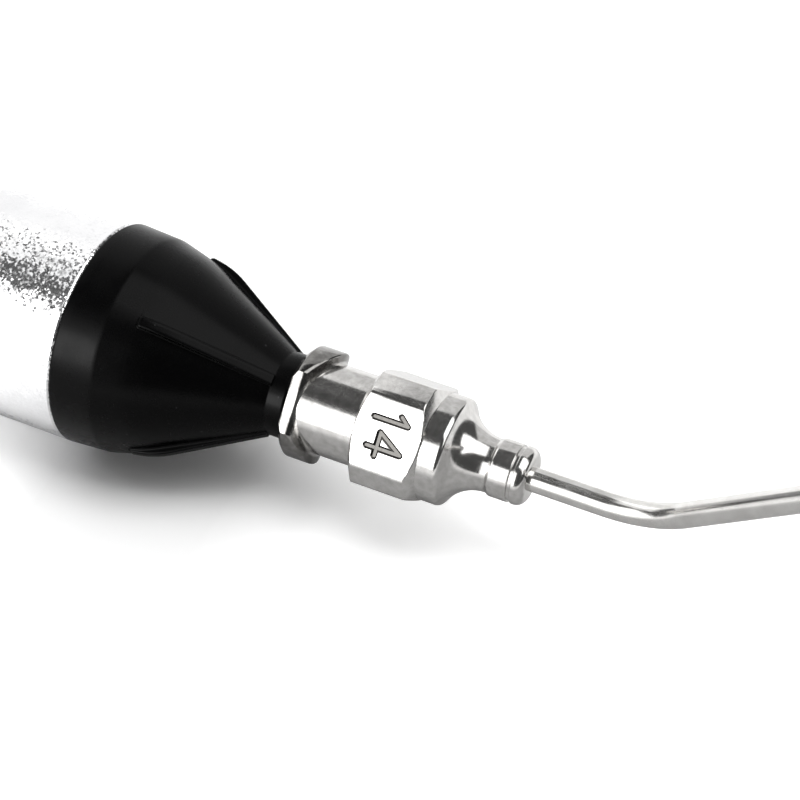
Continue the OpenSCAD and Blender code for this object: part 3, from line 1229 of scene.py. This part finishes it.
@dataclass
class PressKey:
    """Side button with its foot, the press plate and the squeeze bulb. Sizes in millimetres."""

    front: float
    barrel_r: float
    bore: float
    back: float = 37.0
    length: float = 16.0
    width: float = 5.0
    proud: float = 2.5
    clear: float = 0.15
    slot_over: float = 1.0
    key_edge: float = 0.12
    foot_w: float = 9.0
    foot_lip: float = 3.0
    foot_edge: float = 0.8
    plate_len: float = 28.0
    plate_t: float = 0.8
    plate_edge: float = 0.08
    bulb_gap: float = 0.3
    bulb_len: float = 46.0
    bulb_start: float = 14.2
    bulb_round: float = 3.0
    bulb_centre: float = 0.3
    bulb_crease: float = 0.6
    neck_r: float = 4.2
    neck_len: float = 10.0
    neck_lap: float = 1.5
    neck_skin: float = 0.2
    neck_hole: float = 2.0
    neck_rounds: Span = (0.3, 0.4)
    stem_r: float = 2.5
    stem_len: float = 13.0
    travel: float = 2.0
    sides: int = 96

    @property
    def crown_at(self) -> float:
        """Height of the middle of the key's round top over the pen's axis."""
        return self.barrel_r + self.proud - self.width / 2

    @property
    def lean(self) -> float:
        """Angle from straight down at which the key's flank just meets the floor, in degrees."""
        return math.degrees(math.acos((self.barrel_r - self.width / 2) / self.crown_at))

    @property
    def foot_r(self) -> float:
        """Radius of the foot's back, which slides up to the bore."""
        return self.bore - self.clear

    @property
    def foot_at(self) -> float:
        """Height of the foot's flat face over the pen's axis."""
        return math.sqrt(self.foot_r ** 2 - self.foot_w ** 2 / 4) - self.foot_edge

    @property
    def frame(self) -> Matrix:
        """Place of the key: its own Z points out of the barrel."""
        return shifted(self.front - self.back) @ rolled(180 + self.lean)

    @property
    def outwards(self) -> Vector:
        """Direction in which the key points."""
        return self.frame.to_3x3() @ UP

    @property
    def bulb_r(self) -> float:
        """Radius of the bulb."""
        return self.bore - self.bulb_gap

    @property
    def bulb_flat(self) -> float:
        """Height of the bulb's flat side over the pen's axis."""
        return self.foot_at - self.plate_t - self.bulb_gap

    def pill(self, name: str, length: float, width: float, low: float, high: float) -> bpy.types.Object:
        """Shapes a flat bar with round ends at the origin.

        Args:
            name: Name of the bar.
            length: Its whole length in millimetres.
            width: Its width in millimetres.
            low: Height of its lower face.
            high: Height of its upper face.

        Returns:
            The bar.
        """
        clear_selection()
        bpy.ops.mesh.primitive_cylinder_add(
            vertices=self.sides, radius=width / 2 * MM, depth=(high - low) * MM,
            location=(0, 0, (high + low) / 2 * MM),
        )
        bar = settled(name)
        stretch(bar, length - width)
        return bar

    def slot_tool(self) -> bpy.types.Object:
        """Shapes the tool that mills the barrel's slot.

        Returns:
            The tool.
        """
        reach = 2 * self.clear
        top = self.barrel_r + self.slot_over
        tool = self.pill("slot", self.length + reach, self.width + reach, 0, top)
        place(tool, self.frame)
        return tool

    def build_button(self) -> bpy.types.Object:
        """Shapes the key with its full round top and the foot under the barrel's wall.

        Returns:
            The key.
        """
        clear_selection()
        bpy.ops.mesh.primitive_uv_sphere_add(
            segments=self.sides, ring_count=self.sides // 2, radius=self.width / 2 * MM,
            location=(0, 0, self.crown_at * MM),
        )
        key = settled("button_key")
        stretch(key, self.length - self.width)
        keep_side(key, UP * self.crown_at, -UP)
        open_mesh(key, whole=False)
        bpy.ops.mesh.select_mode(type="FACE")
        mesh = bmesh.from_edit_mesh(key.data)
        for face in mesh.faces:
            face.select = len(face.verts) > QUAD and face.normal.z < FACING_DOWN
        bmesh.update_edit_mesh(key.data)
        drop = self.foot_at + self.foot_edge / 2 - self.crown_at
        bpy.ops.mesh.extrude_region_move(TRANSFORM_OT_translate={"value": (0, 0, drop * MM)})
        bpy.ops.mesh.select_mode(type="VERT")
        foot_len = self.length + 2 * self.foot_lip
        clear_selection()
        bpy.ops.mesh.primitive_cube_add(
            size=1, location=(0, 0, (self.foot_at + self.bore / 2) * MM),
            scale=(foot_len * MM, self.foot_w * MM, self.bore * MM),
        )
        foot = settled("foot")
        back = turned("foot_back", [(-foot_len, self.foot_r), (foot_len, self.foot_r)])
        combine(foot, back, Join.KEEP)
        combine(key, foot, Join.ADD)
        soften(key, self.key_edge, angle=40)
        place(key, self.frame)
        return smooth(key)

    def build_plate(self) -> bpy.types.Object:
        """Blanks the press plate from strip.

        Returns:
            The plate.
        """
        low = self.foot_at - self.plate_t
        plate = self.pill("press_plate_strip", self.plate_len, self.foot_w, low, self.foot_at)
        soften(plate, self.plate_edge, angle=50)
        place(plate, self.frame)
        return smooth(plate)

    def build_bulb(self) -> bpy.types.Object:
        """Turns the bulb and flattens the side that the plate presses.

        Returns:
            The bulb.
        """
        radius, start = self.bulb_r, self.front - self.bulb_start
        end, centre = start - self.bulb_len, radius * self.bulb_centre
        corners = [
            Corner(end, centre), Corner(end, radius, self.bulb_round),
            Corner(start, radius, self.bulb_round), Corner(start, centre),
        ]
        bulb = turned("squeeze_bulb_skin", outline(corners, closed=False))
        keep_side(bulb, self.outwards * self.bulb_flat, self.outwards)
        soften(bulb, self.bulb_crease, angle=25, segments=3)
        return smooth(bulb)

    def build_neck(self) -> bpy.types.Object:
        """Turns the bulb's neck, which grips the stem.

        Returns:
            The neck.
        """
        start = self.front - self.bulb_start
        end = self.front - self.stem_len + self.neck_len
        rear_round, front_round = self.neck_rounds
        corners = [
            Corner(start - self.neck_lap, self.neck_hole),
            Corner(start - self.neck_lap, self.neck_r, rear_round),
            Corner(end, self.neck_r, front_round), Corner(end, self.stem_r),
            Corner(start - self.neck_skin, self.stem_r),
        ]
        return smooth(turned("bulb_neck", outline(corners, closed=False)))

    def squash(self, bulb: bpy.types.Object) -> None:
        """Gives the bulb its own copy of its mesh.

        Args:
            bulb: The bulb.
        """
        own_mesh(bulb)


@dataclass(frozen=True)
class Stroke:
    """Straight stroke of a digit between two points, in heights of a digit."""

    start: Point
    end: Point


@dataclass
class Needle:
    """Plated hub, bent tube and suction cup. Sizes in millimetres, stations from the hub's rear end."""

    hub_x: float
    hub_len: float
    lug_r: float = 3.95
    lug_len: float = 2.1
    lug_crown_r: float = 4.85
    flange_w: float = 6.6
    flange_chamfer: float = 0.3
    flange_edge: float = 0.16
    neck_r: float = 3.2
    neck_len: float = 5.2
    block_af: float = 7.7
    block_corner: float = 1.25
    block_edge: float = 0.8
    block_len: float = 4.9
    block_end_angle: float = 31.0
    block_end_inset: float = 0.15
    shoulder_r: float = 3.75
    shoulder_len: float = 1.5
    shoulder_round: float = 0.4
    cove_angle: float = 60.0
    cove_r: float = 2.9
    waist_r: float = 1.88
    bead_r: float = 2.02
    bead_lead: float = 0.05
    bead_ease: float = 0.25
    groove_w: float = 0.24
    groove_depth: float = 0.14
    groove_back: float = 0.9
    groove_edge: float = 0.06
    crease: float = 0.03
    bead_round: float = 0.7
    hub_roll: float = 47.0
    socket_r: float = 2.19
    socket_end_r: float = 1.98
    socket_len: float = 7.0
    mark: tuple = (
        Stroke((0.14, 0.76), (0.34, 1.0)), Stroke((0.34, 1.0), (0.34, 0.0)),
        Stroke((1.16, 0.0), (1.16, 1.0)), Stroke((1.16, 1.0), (0.72, 0.3)),
        Stroke((0.72, 0.3), (1.38, 0.3)),
    )
    mark_h: float = 2.4
    mark_w: float = 0.22
    mark_depth: float = 0.14
    mark_step: float = 0.003
    mark_margin: float = 0.6
    edge: float = 0.06
    chamfer_lean: float = 0.7
    lug_margin: float = 0.25
    joint_run: float = 0.15
    ring_step: float = 0.13
    round_steps: int = 8
    cove_steps: int = 24
    tube_r: float = 0.85
    tube_wall: float = 0.25
    tube_grip: float = 8.0
    tube_lead: float = 5.0
    bend_r: float = 8.0
    bend_angle: float = 45.0
    bend_roll: float = 15.0
    tube_reach: float = 24.0
    tube_sides: int = 96
    bend_steps: int = 36
    cup_r: float = 4.0
    cup_bell_len: float = 2.6
    cup_neck_r: float = 1.9
    cup_grip: float = 3.5
    cup_web: float = 0.6
    cup_lip: float = 0.45
    cup_edge: float = 0.4
    cup_neck_edge: float = 0.25
    cup_neck_round: float = 0.5
    cup_rim_round: float = 0.15
    cup_rim_edge: float = 0.12
    cup_web_round: float = 0.3
    cup_sides: int = 128

    @property
    def block_end(self) -> float:
        """Station of the block's front face."""
        return self.neck_len + self.block_len

    @property
    def shoulder_end(self) -> float:
        """Station of the shoulder's front edge."""
        return self.block_end + self.shoulder_len

    @property
    def waist_x(self) -> float:
        """Station at which the cove ends at the waist."""
        slope = math.radians(self.cove_angle)
        start_r = self.shoulder_r - self.shoulder_round * (1 - math.cos(slope))
        start_x = self.shoulder_end - self.shoulder_round * (1 - math.sin(slope))
        end_r = self.waist_r + self.cove_r * (1 - math.cos(slope))
        return start_x + (start_r - end_r) / math.tan(slope) + self.cove_r * math.sin(slope)

    @property
    def bend_x(self) -> float:
        """Station along the pen at which the tube's bend starts."""
        return self.hub_x + self.hub_len + self.tube_lead

    @cached_property
    def turning(self) -> list[Point]:
        """Outline of the shoulder, cove and bead."""
        slope = math.radians(self.cove_angle)
        waist_x = self.waist_x
        points: list[Point] = []
        for i in range(self.round_steps + 1):
            turn = slope * i / self.round_steps
            points.append((
                self.shoulder_end - self.shoulder_round * (1 - math.sin(turn)),
                self.shoulder_r - self.shoulder_round * (1 - math.cos(turn)),
            ))
        for i in range(self.cove_steps + 1):
            turn = slope * (1 - i / self.cove_steps)
            points.append((
                waist_x - self.cove_r * math.sin(turn), self.waist_r + self.cove_r * (1 - math.cos(turn)),
            ))
        groove_x, groove_r = self.hub_len - self.groove_back, self.bead_r - self.groove_depth
        rise = 2 * (self.bead_r - self.waist_r)
        bead = [
            Corner(waist_x, self.waist_r), Corner(waist_x + self.bead_lead, self.waist_r, self.crease),
            Corner(waist_x + rise, self.bead_r, self.bead_ease),
            Corner(groove_x - self.groove_w, self.bead_r, self.groove_edge),
            Corner(groove_x - self.groove_w, groove_r, self.crease),
            Corner(groove_x, groove_r, self.crease), Corner(groove_x, self.bead_r, self.groove_edge),
            Corner(self.hub_len, self.bead_r, self.bead_round), Corner(self.hub_len, self.tube_r),
        ]
        return points + outline(bead, closed=False)[1:]

    @cached_property
    def directions(self) -> list[Point]:
        """Angle round the axis, and the radius of the block there, for each point of a ring."""
        half = self.block_af / 2
        side = half - self.block_corner
        corners = [
            Corner(0, half), Corner(side, half, self.block_edge), Corner(half, side, self.block_edge),
            Corner(half, 0),
        ]
        quarter = divided(outline(corners, closed=False), self.ring_step)[:-1]
        polar = [(math.atan2(across, up), math.hypot(across, up)) for across, up in quarter]
        return [(turn + math.pi / 2 * i, r) for i in range(4) for turn, r in polar]

    @cached_property
    def flange_turn(self) -> float:
        """Angle of the ring's point that is nearest to a corner of the flange's flats."""
        corner = math.acos(self.flange_w / 2 / self.lug_r)
        return min((turn for turn, _ in self.directions), key=lambda turn: abs(turn - corner))

    def crown_x(self, height: float) -> float:
        """Station of the lugs' crowned front at a height over the axis."""
        return self.lug_len - self.lug_crown_r + math.sqrt(self.lug_crown_r ** 2 - height ** 2)

    def flange_spot(self, turn: float, x: float, lug: float, flat: float) -> Spot:
        """Point of the flange's outline, with the corners of its flats always at the same points.

        Args:
            turn: Angle of the point on a round ring.
            x: Station of the point.
            lug: Radius of the lugs.
            flat: Half of the width over the flats.

        Returns:
            The point on the outline.
        """
        full = math.pi / 2
        folded = math.acos(min(1.0, abs(math.cos(turn))))
        corner, held = math.acos(flat / lug), self.flange_turn
        if folded < held + 1e-5:
            moved = folded * corner / held
            r = flat / math.cos(moved)
        else:
            moved = corner + (folded - held) * (full - corner) / (full - held)
            r = lug
        across = math.copysign(math.sin(moved), math.sin(turn))
        up = math.copysign(math.cos(moved), math.cos(turn))
        return Spot(x, r, math.atan2(across, up))

    def flange_rings(self, turn: float) -> list[Spot]:
        """Draws the flange's outside at one angle.

        Args:
            turn: Angle round the axis.

        Returns:
            Points of the rear edge, the chamfer, the rim and the crowned front edge.
        """
        lug, flat = self.lug_r, self.flange_w / 2
        chamfer, lean = self.flange_chamfer, self.chamfer_lean
        arms = [(near * self.edge, far * self.edge) for near, far in EASING]
        spots = []
        for near, far in arms:
            spots.append(self.flange_spot(turn, lean * far, lug - chamfer - near + lean * far, flat - near))
        for near, far in arms:
            spots.append(self.flange_spot(turn, chamfer - lean * near + far, lug - lean * near, flat))
        for near, far in EASING:
            inset = far * self.flange_edge
            spot = self.flange_spot(turn, 0, lug - inset, flat - inset)
            spots.append(Spot(self.crown_x(spot.height) - near * self.flange_edge, spot.r, spot.turn))
        return spots

    def meridian(self, turn: float, block_r: float) -> list[Spot]:
        """Closed outline of the hub at one angle: flange, neck, block, turned front and bores.

        Args:
            turn: Angle round the axis.
            block_r: Radius of the block at that angle.

        Returns:
            Points from the socket's mouth over the outside and back through the bores.
        """
        slope = math.tan(math.radians(self.block_end_angle))
        low = self.block_af / 2 - self.block_end_inset
        rise = (block_r - low) * slope
        rear, front = Vector((self.neck_len, low)), Vector((self.block_end, self.shoulder_r))
        front.x -= (self.shoulder_r - low) * slope
        start, end = Vector((self.neck_len + rise, block_r)), Vector((self.block_end - rise, block_r))
        joint = self.crown_x(self.neck_r * math.cos(turn))
        neck = (joint, self.lug_len + self.joint_run, self.neck_len)
        points = [*((x, self.neck_r) for x in neck), rear]
        points += eased(rear, start, end, self.edge) + eased(start, end, front, self.edge) + [front]
        points += self.turning
        points += [(self.socket_len, self.tube_r), (self.socket_len, self.socket_end_r)]
        spots = [Spot(0, self.socket_r, turn), *self.flange_rings(turn)]
        return spots + [Spot(x, r, turn) for x, r in points]

    def stamp(self, hub: bpy.types.Object) -> None:
        """Stamps a plain number across the block's first flat, stroke by stroke, with sloping sides.

        Args:
            hub: The hub, at the origin.
        """
        middle = self.neck_len + self.block_len / 2
        reading = Matrix(((0, 1, 0, 0), (-1, 0, 0, 0), (0, 0, 1, 0), (0, 0, 0, 1)))
        face = shifted(middle, 0, self.block_af / 2) @ reading
        ends = [point for stroke in self.mark for point in (stroke.start, stroke.end)]
        centre = (max(u for u, _ in ends) + min(u for u, _ in ends)) / 2
        for i, stroke in enumerate(self.mark):
            depth = self.mark_depth + self.mark_step * i
            run = (Vector(stroke.end) - Vector(stroke.start)) * self.mark_h
            spot = (Vector(stroke.start) + Vector(stroke.end)) / 2 - Vector((centre, 0.5))
            clear_selection()
            bpy.ops.mesh.primitive_cone_add(
                vertices=48, radius1=self.mark_w / 2 * MM, radius2=(self.mark_w / 2 + 2 * depth) * MM,
                depth=2 * depth * MM,
            )
            groove = bpy.context.object
            stretch(groove, run.length)
            turn = Matrix.Rotation(math.atan2(run.y, run.x), 4, "Z")
            place(groove, face @ shifted(spot.x * self.mark_h, spot.y * self.mark_h) @ turn)
            combine(hub, groove, Join.CUT)

    def plating(self) -> bpy.types.Material:
        """Sets up the hub's finish, with the painted shade on its lugs and in its stamped number in their
        places.

        Returns:
            The material.
        """
        start, end = self.neck_len + self.mark_margin, self.block_end - self.mark_margin
        finish = BrightPlate(
            lug_end=self.hub_x + self.lug_len, lug_from=self.neck_r + self.lug_margin,
            stamped=(self.hub_x + start, self.hub_x + end),
            flat_at=self.block_af / 2, flat_normal=rolled(self.hub_roll).to_3x3() @ UP,
        )
        return finish.material()

    def build_hub(self) -> bpy.types.Object:
        """Shapes flange, neck, block and turned front in one piece with its bores, and stamps it.

        Returns:
            The hub.
        """
        hub = lofted("needle_hub_plated", [self.meridian(turn, r) for turn, r in self.directions])
        self.stamp(hub)
        place(hub, shifted(self.hub_x) @ rolled(self.hub_roll))
        return smooth(hub, 28)

    def build_tube(self) -> bpy.types.Object:
        """Draws the tube straight, bends it and draws it on to the cup.

        Returns:
            The tube.
        """
        start = self.hub_x + self.hub_len - self.tube_grip
        tube = circle("needle_tube_drawn", start, self.tube_r, self.tube_sides)
        open_mesh(tube)
        bpy.ops.mesh.select_mode(type="EDGE")
        run = (self.bend_x - start) * MM
        bpy.ops.mesh.extrude_edges_move(TRANSFORM_OT_translate={"value": (run, 0, 0)})
        bend = math.radians(self.bend_angle)
        centre = (self.bend_x * MM, 0, self.bend_r * MM)
        bpy.ops.mesh.spin(steps=self.bend_steps, angle=bend, center=centre, axis=ACROSS)
        reach = self.tube_reach * MM
        bpy.ops.mesh.extrude_edges_move(
            TRANSFORM_OT_translate={"value": (reach * math.cos(bend), 0, reach * math.sin(bend))}
        )
        bpy.ops.mesh.select_mode(type="VERT")
        close_mesh(tube)
        wall = tube.modifiers.new("wall", "SOLIDIFY")
        wall.thickness = self.tube_wall * MM
        wall.offset = -1
        pick(tube)
        bpy.ops.object.modifier_apply(modifier=wall.name)
        place(tube, rolled(self.bend_roll))
        return smooth(tube, 50)

    def build_cup(self) -> bpy.types.Object:
        """Turns the cup and sets it on the tube's end.

        Returns:
            The cup.
        """
        web_at = self.cup_grip + self.cup_web
        mouth = web_at + self.cup_bell_len
        hole = self.tube_r - self.tube_wall
        corners = [
            Corner(0, self.tube_r), Corner(0, self.cup_neck_r, self.cup_neck_edge),
            Corner(self.cup_grip, self.cup_neck_r, self.cup_neck_round),
            Corner(mouth - self.cup_edge, self.cup_r, self.cup_rim_round),
            Corner(mouth, self.cup_r, self.cup_rim_edge),
            Corner(mouth, self.cup_r - self.cup_lip, self.cup_rim_edge),
            Corner(web_at, self.tube_r, self.cup_web_round),
            Corner(web_at, hole), Corner(self.cup_grip, hole), Corner(self.cup_grip, self.tube_r),
        ]
        cup = turned("suction_cup_rubber", outline(corners, closed=True), self.cup_sides)
        turn = Matrix.Rotation(-math.radians(self.bend_angle), 4, "Y")
        end = shifted(self.bend_x, 0, self.bend_r) @ turn @ shifted(0, 0, -self.bend_r)
        place(cup, rolled(self.bend_roll) @ end @ shifted(self.tube_reach - self.cup_grip))
        return smooth(cup, 40)


@dataclass(frozen=True)
class Softbox:
    """Soft lamp that faces the pen, with its place and its size as angles in degrees.

    The angle along is measured towards the tip, and the angle over goes from the front horizon
    over the top to the back.
    """

    name: str
    along: float
    over: float
    width: float
    height: float
    level: float
    mirrored: bool = True
    lighting: bool = True
    distance: float = 900.0

    def build(self, target: Vector) -> None:
        """Hangs the lamp with its width along the pen.

        Args:
            target: Point that it faces, in millimetres.
        """
        along, over = math.radians(self.along), math.radians(self.over)
        across = math.cos(along)
        aim = Vector((math.sin(along), -across * math.cos(over), across * math.sin(over)))
        side = (ALONG - aim * aim.x).normalized()
        turn = Matrix((side, aim.cross(side), aim)).transposed().to_4x4()
        clear_selection()
        bpy.ops.object.light_add(type="AREA")
        lamp = bpy.context.object
        lamp.name = lamp.data.name = self.name
        lamp.matrix_world = Matrix.Translation((target + aim * self.distance) * MM) @ turn
        lamp.data.shape = "RECTANGLE"
        lamp.data.size = 2 * self.distance * math.tan(math.radians(self.width / 2)) * MM
        lamp.data.size_y = 2 * self.distance * math.tan(math.radians(self.height / 2)) * MM
        lamp.data.energy = self.level * math.pi * lamp.data.size * lamp.data.size_y
        lamp.visible_camera = False
        lamp.visible_glossy = self.mirrored
        lamp.visible_diffuse = self.lighting


@dataclass
class Studio:
    """Pale floor, soft light and the camera. Lengths in millimetres, angles in degrees."""

    floor_z: float
    middle: tuple = (95.0, 0.0, 0.0)
    lamps: tuple = (
        Softbox("front_left", -38, 27, 29, 60, 2.0, lighting=False),
        Softbox("front_box", -12, 17, 24, 68, 2.0, lighting=False),
        Softbox("front_core", -21, 25, 20, 26, 6.5, lighting=False),
        Softbox("top_box", 15, 96, 36, 45, 2.3),
        Softbox("top_right", 49, 96, 32, 45, 2.3, lighting=False),
        Softbox("top_lamp", 3, 90, 26, 26, 5.6, mirrored=False),
        Softbox("sky_lamp", 0, 96, 80, 80, 0.6, mirrored=False),
        Softbox("left_top", -45, 106, 44, 34, 1.0),
        Softbox("back_left", -42, 154, 46, 64, 1.0),
        Softbox("back_wall", 4, 152, 46, 56, 0.72),
    )
    dim: float = 0.08
    eye: tuple = (151.01, -90.72, 108.39)
    azimuth: float = 25.13
    elevation: float = 46.38
    lens: float = 99.1
    sensor: float = 36.0
    clip: Span = (1.0, 100000.0)
    floor_size: float = 4000.0
    paper: float = 0.93
    # Paper level that glossy rays see near the pen: painted shade in the floor's reflection.
    near: float = 0.38
    glow: float = 0.05
    # Glow that camera rays see beside the nose's stretch: painted light that pales the shadow under barrel
    # and hub.
    shadow_lift: float = 0.42
    shaded: Span = (85.0, 97.0)
    shade_in: float = 6.0
    shade_out: float = 10.0
    # Spans over which glossy rays see the paper fade to the near level: painted shade in the floor's
    # reflection.
    mirrored_shade_behind: Span = (0.0, 25.0)
    mirrored_shade_from: Span = (74.0, 94.0)
    mirrored_shade_before: Span = (-70.0, -25.0)
    white_behind: Span = (60.0, 240.0)
    white_before: Span = (-240.0, -90.0)

    def build_camera(self) -> None:
        """Sets the camera at the photograph's view."""
        camera = bpy.data.objects.new("camera", bpy.data.cameras.new("camera"))
        bpy.context.scene.collection.objects.link(camera)
        camera.data.lens = self.lens
        camera.data.sensor_width = self.sensor
        camera.data.clip_start, camera.data.clip_end = (distance * MM for distance in self.clip)
        side, rise = math.radians(self.azimuth), math.radians(self.elevation)
        ahead = Vector((-math.sin(side) * math.cos(rise), math.cos(side) * math.cos(rise), -math.sin(rise)))
        camera.location = Vector(self.eye) * MM
        camera.rotation_euler = ahead.to_track_quat("-Z", "Y").to_euler()
        bpy.context.scene.camera = camera

    def build_floor(self) -> None:
        """Lays the paper floor, which looks white and keeps the shadow, with painted shade in its
        reflection near the pen and painted light that pales the shadow under barrel and hub.
        """
        clear_selection()
        bpy.ops.mesh.primitive_plane_add(size=self.floor_size * MM, location=(0, 0, self.floor_z * MM))
        floor = bpy.context.object
        floor.name = "paper_floor"
        shader = Shader("paper")
        path = shader.add("LightPath").outputs
        x, y = shader.along(ALONG), shader.along(ACROSS)

        def fade(value: bpy.types.NodeSocket, span: Span, levels: tuple) -> bpy.types.NodeSocket:
            """Fades one level into another over a span in millimetres."""
            return shader.ramp(value, (span[0] * MM, span[1] * MM), levels)

        # Glossy rays see the paper darker near the nose and hub: painted shade in the floor's reflection.
        behind = fade(y, self.mirrored_shade_behind, (self.near, self.paper))
        ahead = fade(x, self.mirrored_shade_from, (self.paper, behind))
        front = fade(y, self.mirrored_shade_before, (self.paper, ahead))
        colour = shader.ramp(path["Is Glossy Ray"], FULL, (self.paper, front))
        # Camera rays see more glow on either side of the shaded stretch: painted light that pales the
        # shadow under barrel and hub.
        start, end = self.shaded
        left = fade(x, (start - self.shade_in, start), (self.shadow_lift, self.glow))
        right = fade(x, (end, end + self.shade_out), (left, self.shadow_lift))
        far = fade(y, self.white_behind, (right, 1.0))
        seen = fade(y, self.white_before, (1.0, far))
        mirrored = shader.ramp(path["Is Glossy Ray"], FULL, (0.0, self.glow))
        level = shader.ramp(path["Is Camera Ray"], FULL, (mirrored, seen))
        shader.show(shader.add("BsdfDiffuse", Color=colour), shader.add("Emission", Strength=level))
        floor.data.materials.append(shader.material)

    def build_world(self) -> None:
        """Surrounds the pen with a dim room, which the camera sees as white, and hangs the lamps."""
        world = bpy.data.worlds.new("studio")
        bpy.context.scene.world = world
        world.use_nodes = True
        tree = world.node_tree
        path = tree.nodes.new("ShaderNodeLightPath")
        level = tree.nodes.new("ShaderNodeMapRange")
        level.inputs["To Min"].default_value = self.dim
        tree.links.new(path.outputs["Is Camera Ray"], level.inputs["Value"])
        room = tree.nodes["Background"]
        room.inputs["Color"].default_value = (1, 1, 1, 1)
        tree.links.new(level.outputs["Result"], room.inputs["Strength"])
        for lamp in self.lamps:
            lamp.build(Vector(self.middle))

    def build(self) -> None:
        """Builds floor, light and camera."""
        self.build_floor()
        self.build_world()
        self.build_camera()
        bpy.context.scene.view_settings.view_transform = "Standard"


def main() -> None:
    """Loads the frame, builds every piece round it, and sets up the studio."""
    logging.basicConfig(level=logging.INFO, format="%(name)s: %(message)s")
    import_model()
    low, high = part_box("barrel")
    barrel_r, front = high[2] / MM, high[0] / MM

    plastic = MouldedPlastic().material()
    grip = Grip(start=low[0] / MM, end=front, radius=barrel_r)
    press = PressKey(front=front, barrel_r=barrel_r, bore=grip.bore)
    barrel = grip.build_barrel(press.slot_tool())
    dress(barrel, BlastedMetal().material(), Body.PEN, Slot.BARREL, "barrel")
    dress(grip.build_cap(), plastic, Body.PEN, Slot.MOULDING, "tail_cap")

    nose = FinnedNose(front=front, radius=barrel_r, bore=grip.bore)
    dress(nose.build(), plastic, Body.PEN, Slot.MOULDING, "nose_cone")

    soft = SoftRubber(name="bulb_rubber", colour=(0.03, 0.03, 0.03)).material()
    bulb = press.build_bulb()
    dress(bulb, soft, Body.PEN, Slot.BULB, "squeeze_bulb")
    press.squash(bulb)
    dress(press.build_neck(), soft, Body.PEN, Slot.BULB, "squeeze_bulb")
    key_plastic = MouldedPlastic(name="button_plastic").material()
    dress(press.build_button(), key_plastic, Body.BUTTON, Slot.BUTTON, "button")
    strip = DrawnSteel(name="strip_steel", gloss=(0.2, 0.34)).material()
    dress(press.build_plate(), strip, Body.BUTTON, Slot.STRIP, "press_plate")

    rear, tip = (corner[0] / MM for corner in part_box("needle_hub"))
    needle = Needle(hub_x=rear, hub_len=tip - rear)
    dress(needle.build_hub(), needle.plating(), Body.NEEDLE, Slot.HUB, "needle_hub")
    dress(needle.build_tube(), DrawnSteel().material(), Body.NEEDLE, Slot.TUBE, "needle_tube")
    dress(needle.build_cup(), SoftRubber().material(), Body.NEEDLE, Slot.CUP, "suction_cup")

    Studio(floor_z=low[2] / MM).build()
    clear_selection()


if __name__ == "__main__":
    main()
